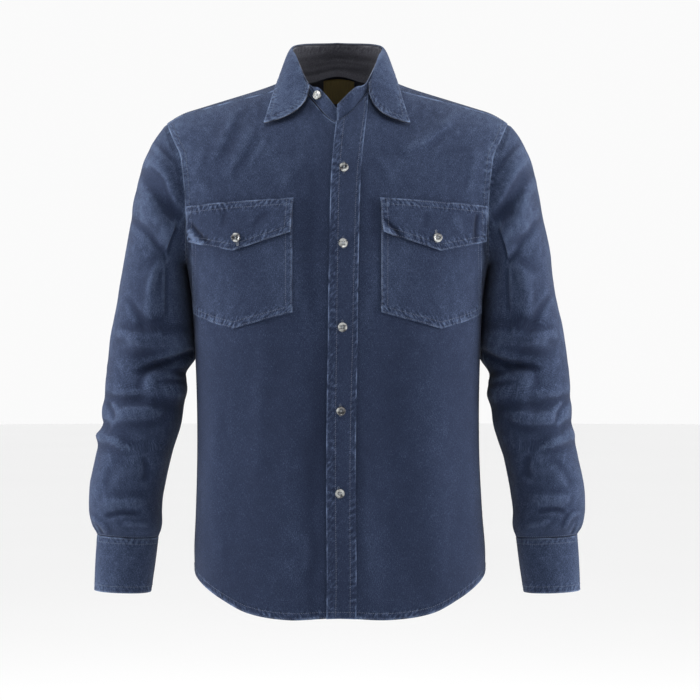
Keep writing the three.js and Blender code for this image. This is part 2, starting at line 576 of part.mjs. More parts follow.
/** Placket band on the wearer's left front. */
function placketBand() {
  const top = (x) => frontTop(x) - NECK_SEAM_GAP;
  const grid = gridOf(shares(PLACKET_GRID.across), shares(PLACKET_GRID.down), (u, v) => {
    const xAt = (z) => read(PLACKET_EDGE, "z", z, "x") + u * PLACKET_WIDTH;
    const high = settle(-60, 10, 0.6, (z) => top(xAt(z)));
    const low = settle(HEM[0].z, 10, 0.6, (z) => read(HEM, "turn", Math.abs(turnAt(xAt(z), z, true)), "z"));
    const height = mix(low, high, v);
    return onFront(xAt(height), height);
  });
  const lift = (u, v, p) => PLACKET_LIFT + PLACKET_NECK_LIFT * step(p.z, ...PLACKET_NECK_RAMP);
  return wall("placket", denim, grid, { core: torsoCore, lift });
}

/** Patch pocket on the wearer's left front, mirrored for the right. */
function pocketPatch(name, side) {
  const p = POCKET;
  const half = shares(POCKET_GRID.across / 2);
  const across = [...half.map((u) => u * p.tipAt), ...half.slice(1).map((u) => mix(p.tipAt, 1, u))];
  const grid = gridOf(across, shares(POCKET_GRID.down), (u, v) => {
    const towardsTip = u < p.tipAt ? u / p.tipAt : (1 - u) / (1 - p.tipAt);
    const z = mix(p.top, mix(p.corner, p.tip, towardsTip), v);
    return acrossFront(side * p.inner, side * p.outer, u, z);
  });
  return wall(name, denim, grid, { core: torsoCore, lift: () => LAY_GAP + CLOTH });
}

/** Pointed pocket flap, lying over the top of its pocket. */
function pocketFlap(name, side) {
  const f = FLAP;
  const grid = gridOf(shares(FLAP_GRID.across), shares(FLAP_GRID.down), (u, v) => {
    const low = u < 0.5 ? mix(f.innerLow.z, f.tip.z, u * 2) : mix(f.tip.z, f.outerLow.z, u * 2 - 1);
    const z = mix(mix(f.innerTop.z, f.outerTop.z, u), low, v);
    return acrossFront(side * mix(f.innerTop.x, f.innerLow.x, v), side * mix(f.outerTop.x, f.outerLow.x, v), u, z);
  });
  const lift = (u, v) => 2 * (LAY_GAP + CLOTH) + f.lift * Math.sin(v * f.liftTurn);
  return wall(name, denim, grid, { core: torsoCore, lift });
}

/** Whole sleeve tube, from the armhole to the cuff seam. */
function sleeveTube(name, side) {
  const around = shares(SLEEVE_GRID.around).slice(0, -1).map((u) => u * 360);
  const grid = gridOf(around, shares(SLEEVE_GRID.along), (u, v) => {
    const p = sleeve(u, v);
    return side < 0 ? mirrorX(p) : p;
  });
  const { topX, lowX, fromZ, height, y } = SLEEVE_CORE;
  const core = (p) => new THREE.Vector3(side * mix(topX, lowX, clamp((fromZ - p.z) / height, 0, 1)), y, p.z);
  return wall(name, denim, grid, { core, joined: true });
}

/** Sizes of the cuff at a share of its height. */
function cuffRow(v) {
  const row = {};
  for (const name of Object.keys(CUFF_TOP)) row[name] = mix(CUFF_TOP[name], CUFF_EDGE[name], v);
  return row;
}

/** Point of the cuff band: u runs once round and on over the lap. */
function cuffPoint(u, v) {
  const turn = CUFF_LAP.from + u * (360 + CUFF_LAP.overlap);
  const row = cuffRow(v);
  const p = ringPoint(row, turn);
  const middle = new THREE.Vector3((row.outX + row.inX) / 2, row.midY, p.z);
  const rise = CUFF_LAP.rise * step(u, ...CUFF_LAP.riseOver);
  return p.addScaledVector(p.clone().sub(middle).normalize(), rise);
}

/** Middle of the cuff level with a point. */
function cuffCore(side, p) {
  return new THREE.Vector3(side * CUFF_CORE.x, CUFF_CORE.y, p.z);
}

/** Cuff band, whose end laps over its start behind the wrist. */
function cuffBand(name, side) {
  const grid = gridOf(shares(CUFF_GRID.across), shares(CUFF_GRID.down), (u, v) => {
    const p = cuffPoint(u, v);
    return side < 0 ? mirrorX(p) : p;
  });
  return wall(name, denim, grid, { thick: DOUBLE_CLOTH, core: (p) => cuffCore(side, p) });
}

/** Narrow placket over the slit above the cuff, on the back of the sleeve. */
function sleevePlacket(name, side) {
  const grid = gridOf(shares(SLIT_GRID.across), shares(SLIT_GRID.up), (u, v) => {
    const along = SLIT.lowEnd - (v * SLIT.length) / SLEEVE_LENGTH;
    const turn = SLIT.around + (u - 0.5) * 2 * SLIT.halfWidth;
    const p = sleeve(turn, along);
    return side < 0 ? mirrorX(p) : p;
  });
  return wall(name, denim, grid, { lift: () => LAY_GAP + CLOTH, core: (p) => new THREE.Vector3(side * SLIT.coreX, SLEEVE_CORE.y, p.z) });
}

/** Top of the collar stand at an angle from the centre back, where the collar folds. */
function foldPoint(turn) {
  const p = oval(COLLAR_FOLD, turn);
  return new THREE.Vector3(p.x, p.y, read(FOLD_HEIGHT, "turn", Math.abs(turn), "z"));
}

/** Angles of the leaf's columns, and of the stand's, which run on past it at each end. */
const leafTurns = shares(COLLAR_GRID.leaf).map((u) => mix(-LEAF_END.right, LEAF_END.left, u));
const standTurns = [
  ...shares(COLLAR_GRID.end).slice(0, -1).map((u) => mix(-STAND_END.under, -LEAF_END.right, u)),
  ...leafTurns,
  ...shares(COLLAR_GRID.end).slice(1).map((u) => mix(LEAF_END.left, STAND_END.over, u)),
];

/** Collar stand: one band round the neck, its right end under its left at the front. */
function collarStand() {
  const grid = gridOf(standTurns, shares(COLLAR_GRID.rise), (turn, v) => {
    const seam = neckSeam(turn);
    const top = foldPoint(turn);
    const p = seam.lerp(top, mix(STAND_SEAM_SHARE, 1, v));
    const outward = new THREE.Vector3(p.x, p.y, 0).normalize();
    return p.addScaledVector(outward, Math.sin(v * Math.PI) * STAND_BOW);
  });
  const lift = (u, v, p) => (u < 0.5 ? -UNDER_DEPTH * step(p.x, ...UNDER_RAMP) * step(-p.y, ...STAND_UNDER_RAMP) : 0);
  return wall("collar_stand", denim, grid, { thick: DOUBLE_CLOTH, lift, core: (p) => new THREE.Vector3(0, 0, p.z) });
}

/** Collar leaf: it turns over the fold and lies on the shoulders, down to its two points. */
function collarLeaf() {
  const grid = gridOf(leafTurns, shares(COLLAR_GRID.fall), (turn, v) => {
    const side = Math.sign(turn) || 1;
    const share = Math.abs(turn) / (side > 0 ? LEAF_END.left : LEAF_END.right);
    const fold = foldPoint(turn);
    const [edgeX, edgeY, off] = ["x", "y", "off"].map((name) => read(LEAF_EDGE, "share", share, name));
    const away = new THREE.Vector3(side * edgeX, edgeY, 0).normalize();
    const edge = new THREE.Vector3(side * edgeX, edgeY, heightOver(edgeX, edgeY) + off).addScaledVector(away, off * LEAF_SLANT);
    const outward = new THREE.Vector3(edge.x - fold.x, edge.y - fold.y, 0).normalize();
    const run = foldPoint(turn + 1).sub(foldPoint(turn - 1)).normalize();
    const up = new THREE.Vector3(0, 0, 1).addScaledVector(run, -run.z).normalize();
    const toFront = step(share, LEAF_FRONT.from, 1);
    const start = fold.clone().addScaledVector(up, mix(DOUBLE_CLOTH + LAY_GAP, LEAF_FRONT_CLEAR, toFront));
    start.addScaledVector(outward, mix(-LEAF_ROLL.inset, LEAF_FRONT.clear, step(share, LEAF_FRONT.outFrom, 1)));
    const roll = fold.clone().addScaledVector(outward, LEAF_ROLL.out).addScaledVector(up, LEAF_ROLL.up);
    const forward = new THREE.Vector3(side * LEAF_FRONT.x, onFront(LEAF_FRONT.x, LEAF_FRONT.z).y - LEAF_FRONT.off, LEAF_FRONT.z);
    roll.lerp(forward, toFront ** LEAF_FRONT.bend);
    return start.multiplyScalar((1 - v) ** 2).addScaledVector(roll, 2 * v * (1 - v)).addScaledVector(edge, v * v);
  });
  return wall("collar_leaf", denim, grid, { thick: LEAF_THICK, core: (p) => new THREE.Vector3(p.x * LEAF_CORE.inward, p.y * LEAF_CORE.inward, LEAF_CORE.z) });
}

/** Label inside the yoke, below the back of the neck. */
function neckLabel() {
  const grid = gridOf(shares(LABEL_GRID.across), shares(LABEL_GRID.down), (u, v) => {
    const x = LABEL.middle + (u - 0.5) * 2 * LABEL.half;
    const y = NECK.back * Math.sqrt(1 - (x / NECK.half) ** 2) + mix(LABEL.top, LABEL.length, v) * LABEL.slope;
    return new THREE.Vector3(x, y, heightOver(x, y));
  });
  return wall("neck_label", labelCloth, grid, { thick: LABEL.thick, lift: () => -CLOTH - LABEL.gap, core: torsoCore });
}

/** Button with a raised rim and a dished middle, standing on a point along a direction. */
function button(name, point, out, gap) {
  const { radius, footRadius, waist, rimRadius, thick, dish, dishRadius } = BUTTON;
  const profile = [
    [0, 0], [footRadius, 0], [radius, waist], [rimRadius, thick], [dishRadius, thick - dish], [0, thick - dish],
  ];
  const mesh = new THREE.Mesh(new THREE.LatheGeometry(profile.map(([r, h]) => new THREE.Vector2(r, h)), BUTTON_SIDES), buttonShell);
  mesh.name = name;
  mesh.quaternion.setFromUnitVectors(new THREE.Vector3(0, 1, 0), out);
  mesh.position.copy(point).addScaledVector(out, gap);
  return mesh;
}

/** Outward direction of the front at a point seen from the front. */
function frontNormal(x, z) {
  const du = onFront(x + 2, z).sub(onFront(x - 2, z));
  const dv = onFront(x, z + 2).sub(onFront(x, z - 2));
  return du.cross(dv).normalize();
}

/** All the buttons: down the front, on the flaps, on the stand and on the cuffs. */
function buttons() {
  const made = [];
  const onLayers = (name, x, z, layers, extra = 0) => {
    made.push(button(name, onFront(x, z), frontNormal(x, z), layers * (LAY_GAP + CLOTH) + LAY_GAP + extra));
  };
  FRONT_BUTTONS.forEach(({ x, z }, i) => onLayers(`button_front_${i + 1}`, x, z, 1));
  onLayers("button_flap_left", FLAP_BUTTON.x, FLAP_BUTTON.z, 2, FLAP.underButton);
  onLayers("button_flap_right", -FLAP_BUTTON.x, FLAP_BUTTON.z, 2, FLAP.underButton);
  const low = neckSeam(NECK_BUTTON.turn);
  const high = foldPoint(NECK_BUTTON.turn);
  const along = neckSeam(NECK_BUTTON.turn + 2).sub(neckSeam(NECK_BUTTON.turn - 2)).normalize();
  const out = high.clone().sub(low).cross(along).normalize();
  if (out.y > 0) out.negate();
  made.push(button("button_neck", low.lerp(high, NECK_BUTTON.up), out, NECK_BUTTON.off));
  for (const [name, side] of [["button_cuff_left", 1], ["button_cuff_right", -1]]) {
    const { across, down, reachAcross, reachDown } = CUFF_BUTTON;
    const place = (u, v) => (side < 0 ? mirrorX(cuffPoint(u, v)) : cuffPoint(u, v));
    const p = place(across, down);
    const around = place(across + reachAcross, down).sub(place(across - reachAcross, down));
    const normal = around.cross(place(across, down + reachDown).sub(place(across, down - reachDown))).normalize();
    if (normal.dot(p.clone().sub(cuffCore(side, p))) < 0) normal.negate();
    made.push(button(name, p, normal, LAY_GAP));
  }
  return made;
}

const shirt = new THREE.Group();
shirt.name = "denim_shirt";
shirt.add(
  frontPanel("front_left", 1),
  frontPanel("front_right", -1),
  backPanel(),
  yokePanel(),
  placketBand(),
  pocketPatch("pocket_left", 1),
  pocketPatch("pocket_right", -1),
  pocketFlap("flap_left", 1),
  pocketFlap("flap_right", -1),
  sleeveTube("sleeve_left", 1),
  sleeveTube("sleeve_right", -1),
  cuffBand("cuff_left", 1),
  cuffBand("cuff_right", -1),
  sleevePlacket("sleeve_placket_left", 1),
  sleevePlacket("sleeve_placket_right", -1),
  collarStand(),
  collarLeaf(),
  neckLabel(),
  ...buttons(),
);

export default shirt;
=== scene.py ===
"""Dresses a long-sleeved denim shirt: creased twill, roped seams, stitches, shell buttons and a bare label.

Shapes are worked out in millimetres, as a cutter writes them, and turned into metres when a mesh is made.
The front faces -Y, +Z is up and the wearer's left sleeve lies towards +X.
"""

import logging
import math
from dataclasses import dataclass, field
from enum import Enum

import bpy
import numpy as np
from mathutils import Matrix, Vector

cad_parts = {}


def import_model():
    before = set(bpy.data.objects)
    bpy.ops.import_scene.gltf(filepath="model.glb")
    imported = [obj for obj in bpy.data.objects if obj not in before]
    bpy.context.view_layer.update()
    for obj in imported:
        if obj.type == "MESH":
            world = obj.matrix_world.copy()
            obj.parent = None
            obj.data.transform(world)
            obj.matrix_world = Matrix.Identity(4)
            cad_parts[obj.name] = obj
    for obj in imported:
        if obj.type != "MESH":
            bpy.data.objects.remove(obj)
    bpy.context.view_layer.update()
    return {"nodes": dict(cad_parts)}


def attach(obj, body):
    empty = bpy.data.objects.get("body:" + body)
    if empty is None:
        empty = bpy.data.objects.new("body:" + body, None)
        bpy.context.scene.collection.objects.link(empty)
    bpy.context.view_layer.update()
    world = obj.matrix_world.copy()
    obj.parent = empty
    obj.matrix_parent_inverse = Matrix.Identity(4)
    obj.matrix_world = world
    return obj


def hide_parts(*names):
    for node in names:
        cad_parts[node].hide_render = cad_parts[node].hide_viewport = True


Array = np.ndarray
Colour = tuple[float, float, float]
Socket = bpy.types.NodeSocket
LOG = logging.getLogger("shirt")
MM = 0.001
CLOTH = 1.3
DOUBLE_CLOTH = 2.2
LAY_GAP = 0.8
SEAM_GAP = 0.15
NECK_SEAM_GAP = 1.0
EDGE_STITCH = 1.8
EDGE_RUB = 1.2
CREST_FADE = 0.36
SEAM_FADE = 0.05


class Edge(Enum):
    """An edge of a panel, seen from outside with its rows running upwards."""

    START = "start"
    END = "end"
    LOW = "low"
    HIGH = "high"


# An edge and three lengths: reach, height and pitch where it is roped, distance and two trims where it is sewn
Row = tuple[Edge, float, float, float]


class Face(Enum):
    """The half of the shirt that a crease lies on."""

    FRONT = "front"
    BACK = "back"


class Side(Enum):
    """The wearer's side; the value is the sign of its X."""

    LEFT = 1
    RIGHT = -1


class Hold(Enum):
    """How a cloth piece is held."""

    HUNG = "hung"
    LAID = "laid"
    FOLDED = "folded"
    STRETCHED = "stretched"


def mix(a: Array | float, b: Array | float, share: Array | float) -> Array | float:
    """Value a share of the way from a to b."""
    return a + (b - a) * share


def step(value: Array | float, low: float, high: float) -> Array:
    """Smooth step from 0 at low to 1 at high."""
    t = np.clip((np.asarray(value, float) - low) / (high - low), 0.0, 1.0)
    return t * t * (3.0 - 2.0 * t)


def power(value: Array, exponent: float) -> Array:
    """Power of a value's size, with its sign kept."""
    return np.sign(value) * np.abs(value) ** exponent


def unit(vectors: Array) -> Array:
    """Vectors brought to length 1."""
    return vectors / np.maximum(np.linalg.norm(vectors, axis=-1, keepdims=True), 1e-9)


def vectors(x: Array, y: Array, z: Array) -> Array:
    """Points stacked from their coordinates."""
    return np.stack(np.broadcast_arrays(x, y, z), axis=-1).astype(float)


def uneven_wave(at: Array, pitch: float, seed: int) -> Array:
    """Wave of about one pitch whose heights and spacing vary, between -1 and 1.

    Args:
        at: Distance along the wave, in millimetres.
        pitch: Usual distance from crest to crest.
        seed: Seed of the variation.

    Returns:
        The wave's height at each distance.
    """
    rng = np.random.default_rng(seed)
    spots = np.arange(-40, 900)
    drift = rng.normal(0, 1.0, len(spots)).cumsum() * 0.6
    swell = 0.1 + 0.9 * rng.random(len(spots)) ** 1.4
    place = np.asarray(at) / pitch
    turn = 2 * math.pi * place + np.interp(place, spots, drift)
    return np.sin(turn) * np.interp(place, spots, swell)


class SoftNoise:
    """Smooth random field in space, seeded, between about -1 and 1."""

    def __init__(self, seed: int) -> None:
        """Draws the field's knots."""
        self.knots = np.random.default_rng(seed).uniform(-1, 1, (32, 32, 32))

    def at(self, points: Array, size: float) -> Array:
        """Reads the field.

        Args:
            points: Places to read it at.
            size: Distance between its knots.

        Returns:
            One value for each place.
        """
        place = points / size
        low = np.floor(place).astype(int)
        share = place - low
        share = share * share * (3 - 2 * share)
        total = np.zeros(points.shape[:-1])
        for corner in np.ndindex(2, 2, 2):
            weight = np.prod(np.where(np.array(corner) == 1, share, 1 - share), axis=-1)
            i, j, k = np.moveaxis((low + corner) % 32, -1, 0)
            total = total + weight * self.knots[i, j, k]
        return total


Layers = tuple[tuple[float, float, float], ...]
NOISE = SoftNoise(7)
WARP = SoftNoise(19)
UNEVENNESS: Layers = ((0, 58, 1.0), (500, 24, 0.45), (900, 9, 0.1))
WANDER_ACROSS: Layers = ((0, 46, 6), (900, 17, 1.6))
WANDER_UP: Layers = ((300, 52, 7), (600, 19, 1.6))


def layered(noise: SoftNoise, points: Array, layers: Layers) -> Array:
    """Sum of a field's layers, each a shift in space, the size of its knots and its height."""
    return sum(noise.at(points + shift, size) * height for shift, size, height in layers)


class Table:
    """Rows of sizes with named columns, read smoothly between the rows."""

    def __init__(self, names: str, rows: list[tuple[float, ...]]) -> None:
        """Keeps the rows; the first column is the one they are read by."""
        self.names = names.split()
        self.columns = dict(zip(self.names, np.array(rows, float).T))

    def read(self, at: Array | float, name: str) -> Array:
        """Reads one column.

        Args:
            at: Places in the first column.
            name: Column to read.

        Returns:
            The values there, held level past both ends.
        """
        x = self.columns[self.names[0]]
        y = self.columns[name]
        slope = np.empty_like(y)
        slope[1:-1] = (y[2:] - y[:-2]) / (x[2:] - x[:-2])
        slope[0] = (y[1] - y[0]) / (x[1] - x[0])
        slope[-1] = (y[-1] - y[-2]) / (x[-1] - x[-2])
        place = np.clip(np.asarray(at, float), x[0], x[-1])
        i = np.clip(np.searchsorted(x, place), 1, len(x) - 1)
        span = x[i] - x[i - 1]
        t = (place - x[i - 1]) / span
        a = y[i - 1] * (2 * t**3 - 3 * t**2 + 1) + slope[i - 1] * span * (t**3 - 2 * t**2 + t)
        return a + y[i] * (3 * t**2 - 2 * t**3) + slope[i] * span * (t**3 - t**2)


@dataclass(frozen=True)
class Fold:
    """Crease from one point to another, seen from the front or back; a trough where high is negative."""

    face: Face
    x1: float
    z1: float
    x2: float
    z2: float
    wide: float
    high: float
    bow: float = 0.0

    def height(self, x: Array, z: Array) -> Array:
        """Height that the crease adds at points seen from the front."""
        dx = self.x2 - self.x1
        dz = self.z2 - self.z1
        length = math.hypot(dx, dz)
        along = ((x - self.x1) * dx + (z - self.z1) * dz) / length**2
        off = ((x - self.x1) * dz - (z - self.z1) * dx) / length
        off = off - self.bow * (1 - (2 * np.clip(along, 0, 1) - 1) ** 2)
        fade = step(along, -0.25, 0.25) * (1 - step(along, 0.75, 1.25))
        return self.high * fade * np.exp(-((off / self.wide) ** 2))


def fold_height(folds: tuple[Fold, ...], face: Face, x: Array, z: Array) -> Array:
    """Sum of the creases of one face at points seen from the front."""
    flat = np.zeros(np.broadcast(x, z).shape)
    return sum((fold.height(x, z) for fold in folds if fold.face is face), flat)


def creases_on(face: Face, *rows: tuple[float, ...]) -> tuple[Fold, ...]:
    """Creases of one face, each row the numbers that a Fold takes after its face."""
    return tuple(Fold(face, *row) for row in rows)


def wander(x: Array, z: Array, seed: float) -> tuple[Array, Array]:
    """Points moved a few millimetres about, so that creases laid on them run unevenly."""
    place = vectors(x, seed, z)
    return x + layered(WARP, place, WANDER_ACROSS), z + layered(WARP, place, WANDER_UP)


def unevenness(points: Array) -> Array:
    """Height of the soft unevenness of washed cloth."""
    return layered(NOISE, points, UNEVENNESS)


FRONT = Face.FRONT
BACK = Face.BACK

# Each row: x and z of its start, x and z of its end, width, height, and its bow where it is curved
TORSO_FOLDS = creases_on(
    FRONT,
    (-139, -42, -168, -108, 10, 3.6), (-122, -66, -150, -130, 9, 3.2), (158, -52, 98, -96, 13, 4.4),
    (-48, -330, -62, -735, 26, 3), (74, -350, 70, -735, 26, -3), (128, -400, 142, -735, 28, 3),
    (-128, -420, -134, -735, 26, -2.5), (-137, -46, -165, -104, 4.5, 1.1, 3),
    (-118, -68, -146, -126, 4.5, 1.0, -3), (-98, -74, -118, -118, 5, 0.9), (156, -54, 100, -94, 6, 1.5, -4),
    (172, -70, 128, -112, 7, 1.1, 3), (-190, -96, -176, -158, 8, 1.6, 3), (194, -92, 180, -156, 8, 1.6, -3),
    (-44, -108, -70, -150, 9, 1.0), (52, -108, 76, -146, 9, 1.0), (-196, -270, -150, -372, 11, -1.8, 6),
    (196, -268, 156, -370, 11, -1.8, -6), (-30, -160, -40, -330, 14, -1.5, 3),
    (38, -160, 44, -330, 14, 1.4, -3), (-98, -360, -104, -560, 15, 1.7, 5),
    (168, -420, 160, -640, 13, -1.6, -5), (-170, -440, -164, -650, 13, 1.6, 5),
    (34, -480, 46, -700, 12, 1.4, 4), (-36, -520, -40, -715, 11, -1.3, -3),
) + creases_on(
    BACK,
    (-88, -150, -96, -740, 30, 4), (4, -230, 0, -752, 34, -4), (92, -170, 104, -740, 30, 4),
    (-150, -118, -120, -240, 12, 2.4, 6), (150, -118, 122, -236, 12, 2.4, -6),
    (-48, -118, -56, -330, 13, 2.2, 4), (50, -118, 60, -318, 13, 2.2, -4),
    (-150, -330, -138, -600, 16, -2.4, 6), (150, -350, 142, -620, 16, -2.4, -6),
    (-30, -470, -40, -720, 15, 2.0, 5), (44, -520, 36, -730, 15, 1.8, -5),
)
SLEEVE_FOLDS = creases_on(
    FRONT,
    (252, -108, 211, -178, 13, -7), (262, -128, 214, -206, 12, 3.5), (261, -168, 206, -252, 14, -7.5),
    (252, -258, 252, -320, 13, -5), (284, -364, 210, -352, 13, -7.5), (268, -404, 210, -376, 8.5, 6),
    (264, -422, 214, -432, 16, -7), (328, -440, 262, -446, 10, 5), (304, -466, 246, -460, 9, -5.5),
    (334, -492, 290, -500, 9, -5), (318, -580, 268, -582, 9, -3.5), (250, -92, 214, -150, 6, -2.2, 3),
    (258, -116, 222, -184, 5, 1.8, 3), (268, -150, 216, -232, 6, -2.4, 4),
    (276, -196, 224, -262, 6, 1.8, 3), (246, -252, 258, -322, 6, -1.8, -3),
    (286, -300, 262, -350, 7, 1.7, 3), (300, -352, 262, -362, 6, -2.4, 3),
    (272, -400, 214, -372, 4.5, 2.6, -4), (262, -410, 216, -412, 6, -2.6, 3),
    (325, -448, 306, -470, 4.5, 2.4, 2), (316, -438, 270, -432, 5, -1.6, 2),
    (300, -458, 258, -454, 4.5, -2.2, 3), (332, -474, 312, -486, 5, 2.0, 2),
    (328, -494, 284, -502, 4.5, -2.2, -2), (264, -518, 270, -550, 6, 2.0, 2),
    (300, -520, 322, -560, 8, 1.4, -3), (314, -597, 274, -594, 4.5, 2.2, 2),
    (336, -602, 318, -619, 4.5, -1.9, 2), (290, -610, 262, -612, 4.5, -1.5, 1),
) + creases_on(
    BACK,
    (262, -118, 218, -196, 14, -6), (284, -232, 214, -290, 15, -5), (300, -372, 222, -352, 14, -5),
    (322, -428, 246, -412, 12, 5), (318, -462, 236, -470, 12, -6), (330, -540, 262, -526, 13, -4),
    (252, -96, 222, -150, 7, -2.2, 3), (276, -150, 226, -224, 7, 2.4, 4), (290, -262, 224, -330, 8, 2.2, 4),
    (310, -340, 236, -330, 7, 2.2, -4), (316, -398, 226, -388, 6, -2.8, 4),
    (324, -444, 240, -440, 6, 2.6, 4), (326, -486, 250, -492, 6, 2.2, -3),
    (334, -520, 270, -508, 6, -1.8, 3), (330, -570, 262, -562, 7, 1.8, 3),
    (336, -598, 272, -592, 5, -1.8, 2),
)


@dataclass
class Figure:
    """The filled-out form that the body's panels are cut to: sections, shoulders, armholes and neckline."""

    sections: Table = Table(
        "z half front back shift",
        [
            (-770, 200, 121, 128, 4), (-690, 202, 121, 127, 4), (-650, 203, 121, 126, 3.5),
            (-600, 200, 119, 123, 2.5), (-520, 197, 117, 120, 1.5), (-440, 197, 118, 122, 1),
            (-350, 200, 123, 130, 0.5), (-300, 203, 127, 135, 0), (-255, 210, 129, 137, 0),
            (-225, 217, 129, 137, 0), (-200, 225, 129, 137, 0), (-150, 245, 129, 137, 0),
            (-100, 257, 129, 137, 0), (0, 265, 129, 137, 0), (70, 266, 129, 137, 0),
        ],
    )
    armhole_front: Table = Table(
        "z x",
        [
            (-255, 210), (-225, 208.5), (-175, 207.5), (-150, 209),
            (-122, 212.5), (-103, 216), (-85, 225), (-55.6, 238),
        ],
    )
    armhole_back: Table = Table(
        "z x",
        [(-255, 210), (-225, 213), (-200, 215.5), (-150, 219), (-105, 224), (-85, 229), (-55.6, 238)],
    )
    hem: Table = Table(
        "turn z",
        [
            (0, -733), (14, -735.5), (32, -728), (48, -711), (62, -697), (75, -686),
            (90, -678), (108, -690), (126, -713), (145, -737), (180, -748),
        ],
    )
    chest_z: float = -255
    front_round: float = 2.6
    back_round: float = 2.3
    shoulder_bend: float = 1.8
    front_rise: float = 1.9
    back_rise: float = 2.4
    shoulder_tip_x: float = 238
    ridge_top: float = 26.6
    ridge_slope: float = 0.31
    ridge_bend: float = 30
    neck_rise: float = 36
    neck_rise_reach: float = 50
    tip_drop: float = 0.0071
    tip_drop_from: float = 205
    neck_half: float = 63
    neck_front: float = 96
    neck_back: float = 60
    neck_point: float = 1.75
    yoke_at_neck: float = 36
    yoke_at_sleeve: float = 8
    side_seam_turn: float = 0.12

    def ridge(self, x: Array) -> Array:
        """Height of the shoulder line at a distance from the middle."""
        high = self.ridge_top - self.ridge_slope * np.hypot(x, self.ridge_bend)
        high = high + self.neck_rise * np.exp(-((x / self.neck_rise_reach) ** 2))
        return high - self.tip_drop * np.maximum(0, np.abs(x) - self.tip_drop_from) ** 2

    def reach(self, z: Array, front: Array) -> Array:
        """How far the sections reach forward or back."""
        return np.where(front, self.sections.read(z, "front"), self.sections.read(z, "back"))

    def point(self, turn: Array, z: Array, creased: bool = True) -> Array:
        """Points of the body's surface.

        Args:
            turn: Angles from the centre front, + towards +X.
            z: Heights.
            creased: Whether the creases and the cloth's unevenness are added.

        Returns:
            The points.
        """
        turn, z = np.broadcast_arrays(np.asarray(turn, float), np.asarray(z, float))
        front = np.abs(turn) <= 90
        exponent = np.where(front, 2 / self.front_round, 2 / self.back_round)
        half = self.sections.read(z, "half")
        x = half * np.sign(turn) * np.abs(np.sin(np.radians(turn))) ** exponent
        depth = self.reach(z, front) * np.abs(np.cos(np.radians(turn))) ** exponent
        up = np.clip((z - self.chest_z) / (self.ridge(x) - self.chest_z), 0, 1)
        lean = (1 - up ** np.where(front, self.front_rise, self.back_rise)) ** (1 / self.shoulder_bend)
        out = depth * lean
        if creased:
            px, pz = wander(x, z, 0)
            creases = np.where(front, *(fold_height(TORSO_FOLDS, face, px, pz) for face in Face))
            rough = unevenness(vectors(x, np.where(front, -depth, depth), z))
            calm = (0.25 + 0.85 * step(np.abs(x), 12, 60)) * (1 - step(z, -110, -66))
            out = out + step(depth, 0, 60) * (creases + rough * calm)
        return vectors(x + self.sections.read(z, "shift"), np.where(front, -out, out), z)

    def turn_at(self, x: Array, z: Array, front: Array | bool) -> Array:
        """Angles at which heights have given distances from the middle."""
        half = self.sections.read(z, "half")
        exponent = np.where(front, self.front_round / 2, self.back_round / 2)
        turn = np.degrees(np.arcsin(np.clip(np.abs(x) / half, 0, 1) ** exponent))
        return np.where(np.asarray(x) < 0, -1, 1) * np.where(front, turn, 180 - turn)

    def edge_turn(self, z: Array, front: bool) -> Array:
        """Angle of the side seam, and of the armhole above it."""
        table = self.armhole_front if front else self.armhole_back
        return np.where(z <= self.chest_z, 90, self.turn_at(table.read(z, "x"), z, front))

    def turn_along(self, z: Array, start: Array, stop: Array, share: Array) -> Array:
        """Angles that lie given shares of the way along the sections between two angles."""
        z, start, stop, share = np.broadcast_arrays(z, start, stop, share)
        steps = 40
        turns = start[..., None] + (stop - start)[..., None] * np.linspace(0, 1, steps + 1)
        pts = self.point(turns, np.broadcast_to(z[..., None], turns.shape), creased=False)
        lengths = np.linalg.norm(np.diff(pts, axis=-2), axis=-1).cumsum(axis=-1)
        lengths = np.concatenate([np.zeros((*lengths.shape[:-1], 1)), lengths], axis=-1)
        target = share * lengths[..., -1]
        i = np.clip((lengths < target[..., None]).sum(axis=-1), 1, steps)
        before = np.take_along_axis(lengths, (i - 1)[..., None], -1)[..., 0]
        after = np.take_along_axis(lengths, i[..., None], -1)[..., 0]
        past = (target - before) / np.maximum(after - before, 1e-9)
        return start + (stop - start) * (i - 1 + past) / steps

    def height_over(self, x: Array, y: Array) -> Array:
        """Heights of the shoulder surface over points seen from above."""
        x, y = np.broadcast_arrays(np.asarray(x, float), np.asarray(y, float))
        front = y <= 0
        z = np.full(x.shape, -60.0)
        exponent = np.where(front, 2 / self.front_round, 2 / self.back_round)
        for _ in range(12):
            turn = self.turn_at(np.abs(x), z, front)
            depth = np.maximum(self.reach(z, front) * np.abs(np.cos(np.radians(turn))) ** exponent, 1e-6)
            share = np.clip(np.abs(y) / depth, 0, 1)
            up = (1 - share**self.shoulder_bend) ** (1 / np.where(front, self.front_rise, self.back_rise))
            z = mix(z, self.chest_z + (self.ridge(x) - self.chest_z) * up, 0.8)
        return z

    def neck_seam(self, turn: Array) -> Array:
        """Neck seam at angles from the centre back."""
        plan = pointed_oval(self.neck_half, self.neck_front, self.neck_back, self.neck_point, turn)
        return vectors(plan[..., 0], plan[..., 1], self.height_over(plan[..., 0], plan[..., 1]))

    def yoke_front_y(self, x: Array) -> Array:
        """Where the yoke's front seam runs, seen from above."""
        share = np.clip((np.abs(x) - self.neck_half) / (self.shoulder_tip_x - self.neck_half), 0, 1)
        return -mix(self.yoke_at_neck, self.yoke_at_sleeve, share)

    def yoke_corner(self) -> tuple[float, float]:
        """Angle on the neck seam, and distance from the middle, where the yoke's front seam starts."""
        turns = np.arange(90, 150, 0.25)
        plan = pointed_oval(self.neck_half, self.neck_front, self.neck_back, self.neck_point, turns)
        i = int(np.argmax(plan[:, 1] <= self.yoke_front_y(np.array(self.neck_half))))
        return float(turns[i]), float(plan[i, 0])

